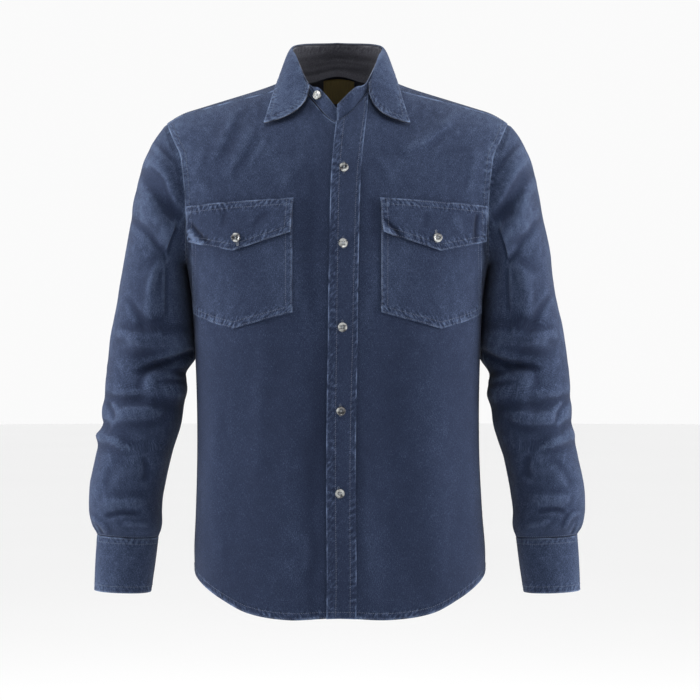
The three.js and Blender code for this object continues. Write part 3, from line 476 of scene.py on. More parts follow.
    def front_top(self, x: Array) -> Array:
        """Height of the neckline, and of the yoke seam past it, at distances from the middle."""
        off = np.abs(x)
        corner = self.yoke_corner()[1]
        inward = 1 - np.clip(off / self.neck_half, 0, 1) ** self.neck_point
        neck = -self.neck_front * inward ** (1 / self.neck_point)
        return self.height_over(off, np.where(off >= corner, self.yoke_front_y(off), neck))

    def armhole(self, around: Array) -> Array:
        """Armhole: 0 on the shoulder tip, 90 in front, 180 underarm and 270 behind."""
        tip = self.ridge(np.array(self.shoulder_tip_x))
        z = (tip + self.chest_z) / 2 + np.cos(np.radians(around)) * (tip - self.chest_z) / 2
        front = np.sin(np.radians(around)) >= 0
        return self.point(np.where(front, self.edge_turn(z, True), self.edge_turn(z, False)), z)

    def on_front(self, x: Array, z: Array) -> Array:
        """Points of the front at distances from the middle and heights."""
        return self.point(self.turn_at(x, z, True), z)


def pointed_oval(half: float, front: float, back: float, point: float, turn: Array) -> Array:
    """Plan of an oval with a pointed front, at angles from the centre back."""
    s = np.sin(np.radians(turn))
    c = np.cos(np.radians(turn))
    exponent = np.where(c < 0, 2 / point, 1.0)
    x = half * np.sign(s) * np.abs(s) ** exponent
    y = np.where(c < 0, -front * np.abs(c) ** exponent, back * c)
    return np.stack([x, y], axis=-1)


FIGURE = Figure()


@dataclass
class Cloth:
    """Outer face of a cloth piece, a grid of points in millimetres, with what its edges and seams do to it.

    Rows run upwards or away from the first edge, columns run across. A joined piece closes on itself across.
    """

    points: Array
    core: Array
    joined: bool = False
    edge_wear: float = 0.85
    # fade holds wear on rubbed edges, crests and roped seams, together with painted shade and painted light.
    fade: Array = field(init=False)
    seam: Array = field(init=False)
    thick: Array = field(init=False)

    def __post_init__(self) -> None:
        """Measures the grid."""
        self.measure()
        self.fade = np.zeros(self.points.shape[:2])
        self.seam = np.zeros(self.points.shape[:2])
        self.thick = np.full(self.points.shape[:2], CLOTH)

    def measure(self) -> None:
        """Works out each point's distance along the cloth from the first column and the first row."""
        closed = np.concatenate([self.points, self.points[:, :1]], axis=1) if self.joined else self.points
        across = np.linalg.norm(np.diff(closed, axis=1), axis=2).cumsum(axis=1)
        self.across = np.concatenate([np.zeros((len(across), 1)), across], axis=1)
        up = np.linalg.norm(np.diff(closed, axis=0), axis=2).cumsum(axis=0)
        self.up = np.concatenate([np.zeros((1, up.shape[1])), up], axis=0)

    def normals(self) -> Array:
        """Unit normals that point away from the core."""
        p = self.points
        if self.joined:
            du = np.roll(p, -1, axis=1) - np.roll(p, 1, axis=1)
        else:
            du = np.gradient(p, axis=1)
        n = unit(np.cross(du, np.gradient(p, axis=0)))
        return n if (n * (p - self.core)).sum() > 0 else -n

    def lift(self, height: Array | float) -> None:
        """Moves the cloth out along its normals."""
        height = np.broadcast_to(height, self.points.shape[:2])[..., None]
        self.points = self.points + self.normals() * height

    def away(self, edge: Edge) -> Array:
        """Distance of each point from an edge."""
        count = self.points.shape[1]
        if edge is Edge.START:
            return self.across[:, :count]
        if edge is Edge.END:
            return (self.across[:, -1:] - self.across)[:, :count]
        return self.up[:, :count] if edge is Edge.LOW else (self.up[-1:] - self.up)[:, :count]

    def along(self, edge: Edge) -> Array:
        """Distance of each point along an edge."""
        return self.away(Edge.LOW if edge in (Edge.START, Edge.END) else Edge.START)

    def pucker(self, edge: Edge, reach: float, seed: int, high: float = 0.45, pitch: float = 7.5) -> None:
        """Ropes the cloth between an edge and its stitches, and wears its crests pale.

        Args:
            edge: Edge that is sewn.
            reach: Distance from the edge to its stitches.
            seed: Seed of the unevenness.
            high: Height of the crests.
            pitch: Usual distance between crests.
        """
        d = self.away(edge)
        band = step(d, -2, reach * 0.3) * (1 - step(d, reach * 0.85, reach * 1.9))
        slant = 0.35 + 0.5 * NOISE.at(self.points + seed, 60)
        wave = uneven_wave(self.along(edge) + slant * d, pitch, seed)
        wave = wave + 0.5 * uneven_wave(self.along(edge) - slant * d, pitch * 0.53, seed + 500)
        patchy = 0.55 + 0.75 * NOISE.at(self.points + 40 * seed, 34)
        wave = wave * np.clip(patchy, 0.1, 1.4)
        self.lift(high * band * wave)
        self.fade = self.fade + CREST_FADE * band * wave + SEAM_FADE * band
        self.seam = np.maximum(self.seam, band * np.clip(high * 1.5, 0.25, 1.0))
        worn = np.clip(0.6 + 1.1 * NOISE.at(self.points + 70 * seed, 10), 0, 1.6)
        self.fade = self.fade + self.edge_wear * np.exp(-((d / EDGE_RUB) ** 2)) * worn

    def rope(self, seed: int, *rows: Row) -> None:
        """Ropes several edges, each row an edge, its reach, height and pitch; each gets the next seed."""
        for k, (edge, reach, high, pitch) in enumerate(rows):
            self.pucker(edge, reach, seed + k, high, pitch)

    def wear_ridges_shade_hollows(self, strength: float = 0.07, reach: int = 2) -> None:
        """Rubs the ridges pale, which is wear, and darkens the hollows with painted shade."""
        p = self.points
        n = self.normals()
        bulge = np.zeros(p.shape[:2])
        for axis in (0, 1):
            pad = [(0, 0), (0, 0), (0, 0)]
            pad[axis] = (reach, reach)
            wide = np.pad(p, pad, mode="wrap" if self.joined and axis == 1 else "edge")
            ahead, behind = (np.take(wide, range(k, k + p.shape[axis]), axis) for k in (2 * reach, 0))
            inner = np.ones(p.shape[:2])
            if not (self.joined and axis == 1):
                inner = np.moveaxis(inner, axis, 0)
                inner[:reach] = inner[-reach:] = 0
                inner = np.moveaxis(inner, 0, axis)
            bulge += inner * ((2 * p - ahead - behind) * n).sum(-1)
        # Paler on the ridges as wear; below zero in the hollows as painted shade.
        self.fade = self.fade + strength * np.clip(bulge - 0.25, -1.2, 1.2)

    def on(self, x: Array, z: Array) -> tuple[Array, Array]:
        """Places on the cloth that are seen from the front at distances and heights.

        Args:
            x: Distances from the middle.
            z: Heights.

        Returns:
            The points and the cloth's normals there.
        """
        x, z = np.broadcast_arrays(np.asarray(x, float), np.asarray(z, float))
        flat = self.points.reshape(-1, 3)
        off = (flat[None, :, 0] - x.ravel()[:, None]) ** 2 + (flat[None, :, 2] - z.ravel()[:, None]) ** 2
        near = off.argmin(axis=1)
        corner, normal = flat[near], self.normals().reshape(-1, 3)[near]
        tilt = normal[:, 0] * (x.ravel() - corner[:, 0]) + normal[:, 2] * (z.ravel() - corner[:, 2])
        return np.stack([x.ravel(), corner[:, 1] - tilt / normal[:, 1], z.ravel()], -1), normal

    def double(self, edge: Edge, wide: float, extra: float) -> None:
        """Thickens a band along an edge, as a turned hem or a felled seam is thick."""
        band = 1 - step(self.away(edge), wide - 0.8, wide + 0.8)
        self.lift(band * extra / 2)
        self.thick = self.thick + band * extra

    def line(self, edge: Edge, distance: float, trim: tuple[float, float] = (0, 0)) -> tuple[Array, Array]:
        """Line at a distance from an edge.

        Args:
            edge: Edge that the line follows.
            distance: Distance from it along the cloth.
            trim: Lengths left off at the line's two ends.

        Returns:
            The line's points and the cloth's normals there.
        """
        d = self.away(edge)
        grid = [self.points, self.normals()]
        if edge in (Edge.START, Edge.END):
            d = d.T
            grid = [g.transpose(1, 0, 2) for g in grid]
        if edge in (Edge.END, Edge.HIGH):
            d = d[::-1]
            grid = [g[::-1] for g in grid]
        i = np.clip((d < distance).sum(axis=0), 1, len(d) - 1)
        columns = np.arange(d.shape[1])
        before, after = d[i - 1, columns], d[i, columns]
        share = np.clip((distance - before) / np.maximum(after - before, 1e-9), 0, 1)
        pts, normals = (mix(g[i - 1, columns], g[i, columns], share[:, None]) for g in grid)
        if self.joined and edge in (Edge.LOW, Edge.HIGH):
            pts = np.concatenate([pts, pts[:1]])
            normals = np.concatenate([normals, normals[:1]])
        length = np.concatenate([[0], np.linalg.norm(np.diff(pts, axis=0), axis=1).cumsum()])
        keep = (length >= trim[0]) & (length <= length[-1] - trim[1])
        return pts[keep], unit(normals[keep])

    def build(self, name: str, finish: "Finish") -> bpy.types.Object:
        """Makes the closed cloth wall with its map, in metres, and its wear and painted shade.

        Args:
            name: Name of the piece.
            finish: Finish that it is given.

        Returns:
            The new object.
        """
        rows, columns = self.points.shape[:2]
        inner = self.points - self.normals() * self.thick[..., None]
        spans = columns if self.joined else columns - 1
        j, i = np.meshgrid(np.arange(rows - 1), np.arange(spans), indexing="ij")
        corners = np.stack([(j, i), (j, i + 1), (j + 1, i + 1), (j + 1, i)])
        quads = corners.transpose(2, 3, 0, 1).reshape(-1, 4, 2)
        faces = [np.concatenate([quads, np.zeros_like(quads[..., :1])], -1)]
        faces.append(np.concatenate([quads[:, ::-1], np.ones_like(quads[..., :1])], -1))
        rim = []
        last = columns - 1
        for k in range(spans):
            rim.append([(0, k, 1), (0, k + 1, 1), (0, k + 1, 0), (0, k, 0)])
            rim.append([(rows - 1, k, 0), (rows - 1, k + 1, 0), (rows - 1, k + 1, 1), (rows - 1, k, 1)])
        for k in range(0 if self.joined else rows - 1):
            rim.append([(k, 0, 0), (k + 1, 0, 0), (k + 1, 0, 1), (k, 0, 1)])
            rim.append([(k, last, 1), (k + 1, last, 1), (k + 1, last, 0), (k, last, 0)])
        faces = np.concatenate([*faces, np.array(rim)])
        first = np.cross(self.points[0, 1] - self.points[0, 0], self.points[1, 0] - self.points[0, 0])
        if (first * self.normals()[0, 0]).sum() < 0:
            faces = faces[:, ::-1]
        row, column, layer = faces[..., 0], faces[..., 1], faces[..., 2]
        index = layer * rows * columns + row * columns + column % columns
        obj = new_object(name, np.concatenate([self.points, inner]).reshape(-1, 3), index.tolist())
        flat = np.stack([self.across - self.across[:, -1:] / 2, self.up], -1) * MM
        uv = obj.data.uv_layers.new(name="cloth")
        uv.data.foreach_set("uv", flat[row, column].reshape(-1).astype(np.float32))
        none = np.zeros((rows, columns))
        # fade carries wear together with painted shade and painted light to the material.
        for label, pair in {
            "fade": (self.fade, self.fade),
            "seam": (self.seam, self.seam),
            "inside": (none, none + 1),
        }.items():
            kept = obj.data.attributes.new(label, "FLOAT", "POINT")
            kept.data.foreach_set("value", np.concatenate(pair).ravel().astype(np.float32))
        smooth(obj, 50)
        belong(obj, finish)
        return obj


def new_object(name: str, points: Array, faces: list) -> bpy.types.Object:
    """Makes an object from points in millimetres and the faces between them."""
    mesh = bpy.data.meshes.new(name)
    mesh.from_pydata((points * MM).tolist(), [], faces)
    obj = bpy.data.objects.new(name, mesh)
    bpy.context.scene.collection.objects.link(obj)
    return obj


def belong(obj: bpy.types.Object, finish: "Finish") -> None:
    """Gives a piece its finish and makes it part of the shirt."""
    obj.data.materials.clear()
    obj.data.materials.append(finish.material())
    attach(obj, "root")


def smooth(obj: bpy.types.Object, degrees: float) -> None:
    """Shades an object smooth, but sharp past an angle."""
    bpy.ops.object.select_all(action="DESELECT")
    obj.select_set(True)
    bpy.context.view_layer.objects.active = obj
    bpy.ops.object.shade_smooth_by_angle(angle=math.radians(degrees))
    obj.select_set(False)


def turned_slab(name: str, vertices: int, radius: float, depth: float, middle: float) -> bpy.types.Object:
    """Turns a round slab about the upright axis.

    Args:
        name: Name of the slab.
        vertices: Corners round it.
        radius: Its radius in metres.
        depth: Its thickness in metres.
        middle: Height of its middle in metres.

    Returns:
        The new object.
    """
    place = (0, 0, middle)
    bpy.ops.object.select_all(action="DESELECT")
    bpy.ops.mesh.primitive_cylinder_add(vertices=vertices, radius=radius, depth=depth, location=place)
    obj = bpy.context.object
    obj.name = name
    bpy.ops.object.transform_apply(location=True, rotation=False, scale=False)
    return obj


def round_edges(obj: bpy.types.Object, width: float, segments: int) -> None:
    """Bevels the sharp edges of the active object."""
    bevel = obj.modifiers.new("rounded edges", "BEVEL")
    bevel.width = width
    bevel.segments = segments
    bevel.limit_method = "ANGLE"
    bpy.ops.object.modifier_apply(modifier=bevel.name)


@dataclass
class Stitches:
    """Rows of sewn thread on one piece, each stitch a small plump bead of thread sunk into the cloth."""

    name: str
    finish: "Finish"
    pitch: float = 3.0
    length: float = 2.3
    radius: float = 0.34
    sides: int = 5
    centres: list[Array] = field(default_factory=list)
    runs: list[Array] = field(default_factory=list)
    ups: list[Array] = field(default_factory=list)

    def row(self, line: tuple[Array, Array]) -> None:
        """Sews along a line of points with its cloth normals."""
        pts, normals = line
        if len(pts) < 2:
            return
        length = np.concatenate([[0], np.linalg.norm(np.diff(pts, axis=0), axis=1).cumsum()])
        at = np.arange(self.pitch / 2, length[-1], self.pitch)
        if not len(at):
            return

        def read(places: Array, source: Array) -> Array:
            """What a source says at places along the line."""
            return np.stack([np.interp(places, length, source[:, k]) for k in range(3)], -1)

        self.bar(read(at, pts), read(at + 0.4, pts) - read(at - 0.4, pts), read(at, normals))

    def buttonhole(self, cloth: Cloth, x: float, z: float, half: float = 8.2) -> None:
        """Whips the two sides of an upright buttonhole.

        Args:
            cloth: Cloth that it is cut in.
            x: Distance of its middle from the middle of the body.
            z: Height of its middle.
            half: Half its length.
        """
        rises = np.arange(-half, half + 0.01, 0.75)
        ends = np.array([-half - 0.3, half + 0.3])
        for aside, up in ((-0.85, rises), (0.85, rises), (0, ends)):
            centres, ups = cloth.on(x + aside, z + up)
            self.bar(centres, np.broadcast_to(np.array([1.0, 0, 0]), centres.shape), ups)

    def bar(self, centre: Array, run: Array, up: Array) -> None:
        """Adds single stitches at given places."""
        self.centres.append(np.atleast_2d(centre))
        self.runs.append(unit(np.atleast_2d(run)))
        self.ups.append(unit(np.atleast_2d(up)))

    def build(self) -> bpy.types.Object:
        """Makes all the stitches as one mesh."""
        centre = np.concatenate(self.centres)
        run = np.concatenate(self.runs)
        side = unit(np.cross(run, np.concatenate(self.ups)))
        up = np.cross(side, run)
        turn = np.arange(self.sides)[None, :, None] * 2 * math.pi / self.sides
        ring = np.cos(turn) * side[:, None] + np.sin(turn) * up[:, None]
        verts = []
        for share, wide, high in ((-0.5, 0.0, -0.3), (-0.3, 0.85, 0.1), (0.3, 0.85, 0.1), (0.5, 0.0, -0.3)):
            middle = (centre + run * share * self.length + up * high * self.radius)[:, None]
            verts.append(middle + ring * self.radius * wide if wide else middle)
        block = np.concatenate(verts, axis=1)
        count = block.shape[1]
        near, far, end = 1, 1 + self.sides, count - 1
        faces = []
        for k in range(self.sides):
            n = (k + 1) % self.sides
            faces += [[0, near + n, near + k], [near + k, near + n, far + n, far + k]]
            faces.append([far + k, far + n, end])
        firsts = range(0, len(centre) * count, count)
        polygons = [[corner + first for corner in face] for first in firsts for face in faces]
        obj = new_object(self.name, block.reshape(-1, 3), polygons)
        obj.data.polygons.foreach_set("use_smooth", np.ones(len(polygons), bool))
        belong(obj, self.finish)
        return obj


class Nodes:
    """Short ways to add and join nodes in a node tree."""

    def __init__(self, tree: bpy.types.NodeTree) -> None:
        """Works on one tree."""
        self.tree = tree

    def feed(self, node: bpy.types.Node, inputs: dict) -> None:
        """Sets or links a node's inputs."""
        for key, value in inputs.items():
            if isinstance(value, bpy.types.NodeSocket):
                self.tree.links.new(value, node.inputs[key])
            else:
                node.inputs[key].default_value = value

    def add(self, kind: str, inputs: dict | None = None, **settings: object) -> bpy.types.Node:
        """Adds a node, sets its properties, and sets or links its inputs."""
        node = self.tree.nodes.new(kind)
        for key, value in settings.items():
            setattr(node, key, value)
        self.feed(node, inputs or {})
        return node

    def maths(self, operation: str, *values: object) -> Socket:
        """Adds a math node and returns its output."""
        return self.add("ShaderNodeMath", dict(enumerate(values)), operation=operation).outputs[0]

    def noise(self, place: Socket, detail: float, *pace: float) -> Socket:
        """Adds a noise texture that runs at its own pace along each axis, and returns its value."""
        scaled = self.add("ShaderNodeVectorMath", {0: place, 1: pace}, operation="MULTIPLY").outputs[0]
        return self.add("ShaderNodeTexNoise", {"Vector": scaled, "Scale": 1.0, "Detail": detail}).outputs[0]

    def wave(self, place: Socket, ribs: float | Socket, half_waves: float = 2.0) -> Socket:
        """Adds a sine wave with so many half waves to a rib, and so many ribs a metre."""
        turn = self.maths("MULTIPLY", self.maths("MULTIPLY", place, ribs), half_waves * math.pi)
        return self.maths("SINE", turn)

    def total(self, *terms: tuple[Socket, float, float]) -> Socket:
        """Adds sockets up, each less its middle and times its weight."""
        result = None
        for socket, middle, weight in terms:
            term = self.maths("MULTIPLY", self.maths("SUBTRACT", socket, middle), weight)
            result = term if result is None else self.maths("ADD", result, term)
        return result

    def bump(self, height: Socket, strength: float, distance: float, **more: Socket) -> Socket:
        """Adds a relief and returns its normal."""
        inputs = {"Height": height, "Strength": strength, "Distance": distance, **more}
        return self.add("ShaderNodeBump", inputs).outputs[0]

    def colour_between(self, share: Socket, low: object, high: object) -> Socket:
        """Mixes two colours, each a socket or three numbers."""
        low, high = (c if isinstance(c, bpy.types.NodeSocket) else (*c, 1) for c in (low, high))
        return self.add("ShaderNodeMix", {0: share, 6: low, 7: high}, data_type="RGBA").outputs[2]

    def tint(self, share: Socket, colour: Colour, dark: float, pale: float = 1.5) -> Socket:
        """Varies one colour between darker and paler."""
        return self.colour_between(share, tuple(c * dark for c in colour), tuple(c * pale for c in colour))

    def ramp(self, share: Socket, places: tuple[float, ...], colours: tuple[Colour, ...]) -> Socket:
        """Adds a ramp through three colours."""
        node = self.add("ShaderNodeValToRGB", {"Fac": share})
        marks = node.color_ramp.elements
        marks.new(0.5)
        for mark, place, colour in zip(sorted(marks, key=lambda m: m.position), places, colours):
            mark.position = place
            mark.color = (*colour, 1)
        return node.outputs[0]


def new_group(name: str, *values: str) -> tuple[Nodes, bpy.types.Node, bpy.types.Node]:
    """Makes a shader group that turns a map and some values into a tone and a height.

    Args:
        name: Name of the group.
        values: Names of its value inputs.

    Returns:
        The group's nodes, its input node and its output node.
    """
    tree = bpy.data.node_groups.new(name, "ShaderNodeTree")
    tree.interface.new_socket("Map", in_out="INPUT", socket_type="NodeSocketVector")
    for label in values:
        tree.interface.new_socket(label, in_out="INPUT", socket_type="NodeSocketFloat")
    for label in ("Tone", "Height"):
        tree.interface.new_socket(label, in_out="OUTPUT", socket_type="NodeSocketFloat")
    nodes = Nodes(tree)
    return nodes, nodes.add("NodeGroupInput"), nodes.add("NodeGroupOutput")


def twill_group() -> bpy.types.NodeTree:
    """Woven twill: steep diagonal ribs of yarn, uneven yarns and lint, from a map in metres."""
    n, start, end = new_group("twill weave", "Ribs")
    place, pace = start.outputs["Map"], start.outputs["Ribs"]
    across, along, _ = n.add("ShaderNodeSeparateXYZ", {0: place}).outputs
    ribs = n.wave(n.maths("ADD", across, n.maths("MULTIPLY", along, 0.62)), pace)
    cross = n.wave(along, pace, 2.9)
    yarn = n.noise(place, 3.0, 1500, 240, 1)
    slub = n.noise(place, 2.0, 420, 60, 1)
    grain = n.noise(place, 4.0, 1000, 820, 1)
    tone = n.total((yarn, 0.5, 0.75), (ribs, 0, 0.06), (slub, 0.5, 0.15), (grain, 0.5, 1.05))
    height = n.total((ribs, 0, 0.3), (cross, 0, 0.16), (yarn, 0, 0.55), (grain, 0, 0.7))
    n.feed(end, {"Tone": tone, "Height": height})
    return n.tree


def wear_and_shade_group() -> bpy.types.NodeTree:
    """Wash, wear and painted shade: broad clouds where the indigo has washed out unevenly, the mesh's fade
    with its wear, painted shade and painted light, and roped seams.
    """
    n, start, end = new_group("wash, wear and painted shade", "Fade", "Seam")
    place = start.outputs["Map"]
    cloud = n.noise(place, 3.0, 11, 6, 1)
    patch = n.noise(place, 2.0, 95, 60, 1)
    faded = n.maths("MULTIPLY", start.outputs["Fade"], n.maths("ADD", 0.55, n.maths("MULTIPLY", patch, 0.9)))
    turned = n.add("ShaderNodeMapping", {"Vector": place, "Rotation": (0, 0, math.radians(38))}).outputs[0]
    rope = n.maths("SUBTRACT", n.noise(turned, 1.0, 330, 125, 1), 0.5)
    roped = n.maths("MULTIPLY", rope, start.outputs["Seam"])
    tone = n.total((cloud, 0.5, 0.55), (patch, 0.5, 0.3), (faded, 0, 1), (roped, 0, 1.5))
    n.feed(end, {"Tone": tone, "Height": roped})
    return n.tree


@dataclass(frozen=True)
class Finish:
    """A finish: its name, the record's slot that it belongs to, and how its material is made."""

    name: str
    slot: str = ""

    def material(self) -> bpy.types.Material:
        """The finish's material, made once."""
        known = bpy.data.materials.get(self.name)
        if known:
            return known
        made = bpy.data.materials.new(self.name)
        made.use_nodes = True
        made.node_tree.nodes.clear()
        nodes = Nodes(made.node_tree)
        shader = nodes.add("ShaderNodeBsdfPrincipled", self.look(nodes))
        nodes.add("ShaderNodeOutputMaterial", {"Surface": shader.outputs[0]})
        return made

    def look(self, n: Nodes) -> dict[str, object]:
        """What goes into the shader's inputs."""
        raise NotImplementedError


@dataclass(frozen=True)
class Denim(Finish):
    """Dark washed indigo twill, paler where it has rubbed, greyer inside, where painted shade keeps it dark.
    """

    places: tuple[float, float, float] = (0.06, 0.42, 0.98)
    outer: tuple[Colour, ...] = ((0.004, 0.007, 0.018), (0.0150, 0.0235, 0.0525), (0.115, 0.160, 0.265))
    # Inner colours: the greyer back of the twill, darkened with painted shade.
    inner: tuple[Colour, ...] = ((0.014, 0.014, 0.018), (0.040, 0.040, 0.050), (0.11, 0.112, 0.125))
    ribs: float = 900.0

    def look(self, n: Nodes) -> dict[str, object]:
        """Weave, wear and painted shade set the colour; the weave and the roped seams set the relief."""
        place = n.add("ShaderNodeUVMap", uv_map="cloth").outputs[0]
        kept = [n.add("ShaderNodeAttribute", attribute_name=name) for name in ("fade", "seam", "inside")]
        # fade is wear together with painted shade and painted light.
        fade, seam, inside = (node.outputs["Fac"] for node in kept)
        weave = n.add("ShaderNodeGroup", node_tree=twill_group())
        n.feed(weave, {"Map": place, "Ribs": self.ribs})
        wear = n.add("ShaderNodeGroup", node_tree=wear_and_shade_group())
        n.feed(wear, {"Map": place, "Fade": fade, "Seam": seam})
        tone = n.total((weave.outputs["Tone"], 0, 0.66), (wear.outputs["Tone"], 0, 0.5))
        tone = n.maths("ADD", tone, self.places[1])
        outer, inner = (n.ramp(tone, self.places, colours) for colours in (self.outer, self.inner))
        bump = n.bump(weave.outputs["Height"], 0.6, 0.0004)
        return {
            "Base Color": n.colour_between(inside, outer, inner),
            "Normal": n.bump(wear.outputs["Height"], 0.8, 0.0011, Normal=bump),
            "Roughness": 0.9,
            "Specular IOR Level": 0.12,
            "Sheen Weight": 0.03,
            "Sheen Roughness": 0.5,
        }


@dataclass(frozen=True)
class Thread(Finish):
    """Cotton sewing thread, twisted, a little paler than the cloth."""

    colour: Colour = (0.062, 0.078, 0.118)

    def look(self, n: Nodes) -> dict[str, object]:
        """Uneven colouring along the thread."""
        place = n.add("ShaderNodeTexCoord").outputs["Object"]
        tint = n.noise(place, 2.0, 260, 260, 260)
        twist = n.noise(place, 1.0, 3000, 3000, 3000)
        colour = n.tint(tint, self.colour, 0.55)
        return {"Base Color": colour, "Normal": n.bump(twist, 0.4, 0.0002), "Roughness": 0.7}


@dataclass(frozen=True)
class Shell(Finish):
    """Polished grey-white shell with faint clouds."""

    dark: Colour = (0.02, 0.021, 0.024)
    light: Colour = (0.42, 0.43, 0.42)

    def look(self, n: Nodes) -> dict[str, object]:
        """Cloudy colour under a gloss."""
        cloud = n.noise(n.add("ShaderNodeTexCoord").outputs["Object"], 2.0, 110, 110, 170)
        share = n.add("ShaderNodeMapRange", {"Value": cloud, "From Min": 0.42, "From Max": 0.68}).outputs[0]
        colour = n.colour_between(share, self.dark, self.light)
        return {"Base Color": colour, "Roughness": 0.2, "Coat Weight": 1.0, "Coat Roughness": 0.08}


@dataclass(frozen=True)
class Tape(Finish):
    """Plain woven olive-brown tape."""

    colour: Colour = (0.16, 0.112, 0.024)
    threads: float = 1800

    def look(self, n: Nodes) -> dict[str, object]:
        """Fine plain weave."""
        place = n.add("ShaderNodeUVMap", uv_map="cloth").outputs[0]
        across, along, _ = n.add("ShaderNodeSeparateXYZ", {0: place}).outputs
        weave = n.maths("MULTIPLY", n.wave(across, self.threads), n.wave(along, self.threads))
        colour = n.tint(n.noise(place, 2.0, 900, 60, 1), self.colour, 0.6)
        return {"Base Color": colour, "Normal": n.bump(weave, 0.3, 0.0002), "Roughness": 0.6}


@dataclass(frozen=True)
class Paint(Finish):
    """Matt pale paint."""

    low: float = 0.94
    high: float = 0.96

    def look(self, n: Nodes) -> dict[str, object]:
        """Nearly even colour, rolled on."""
        place = n.add("ShaderNodeTexCoord").outputs["Object"]
        colour = n.colour_between(n.noise(place, 2.0, 0.6, 0.6, 0.6), (self.low,) * 3, (self.high,) * 3)
        return {"Base Color": colour, "Roughness": 0.9}


PAINT = Paint("floor paint")
DENIM = Denim("washed denim", "denim")
THREAD = Thread("sewing thread", "denim")
PALE_THREAD = Thread("buttonhole thread", "denim", (0.20, 0.22, 0.25))
SHELL = Shell("button shell", "button")
TAPE = Tape("label tape", "neck_label")


@dataclass(frozen=True)
class Cut:
    """Size and area that a sheet was cut to, in metres, how it is held, and by which solids."""

    flat: tuple[float, float]
    area: float
    hold: Hold
    carriers: str = ""


def sew_up(
    cloth: Cloth,
    kind: str,
    side: Side | None = None,
    rows: list[Row] | None = None,
    holes: Stitches | None = None,
    finish: Finish = DENIM,
) -> None:
    """Builds a cloth piece and its stitches, and shows it for its solid.

    Args:
        cloth: Cloth of the piece.
        kind: Which cut it is.
        side: Side of the shirt, for a piece that there are two of.
        rows: Rows of stitches to sew.
        holes: Its buttonholes.
        finish: Finish of the cloth.
    """
    node = f"{kind}_{side.name.lower()}" if side else kind
    obj = cloth.build(f"cloth_{node}", finish)
    stitches = Stitches(f"stitches_{node}", THREAD)
    for edge, distance, *trim in rows or []:
        stitches.row(cloth.line(edge, distance, tuple(trim)))
    pieces = [sewn.build() for sewn in (stitches, holes) if sewn and sewn.centres]
    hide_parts(node)
    LOG.info("%s: %d faces", obj.name, len(obj.data.polygons))


def border(*distances: float) -> list[Row]:
    """Rows along the top and both sides that turn at the corners."""
    rows = []
    for far in distances:
        rows += [(Edge.HIGH, far, far, far), (Edge.START, far, 2, far), (Edge.END, far, 2, far)]
    return rows


def lerp_shares(*parts: tuple[float, float, int]) -> Array:
    """Shares that run through several stretches, each (from, to, count)."""
    return np.concatenate([np.linspace(a, b, count + 1)[k > 0 :] for k, (a, b, count) in enumerate(parts)])


def on_torso(points: Array, edge_wear: float = 0.85) -> Cloth:
    """Cloth on the body, whose core runs up its middle to under the shoulders."""
    return Cloth(points, vectors(0.0, 0.0, np.minimum(points[..., 2], -140.0)), edge_wear=edge_wear)


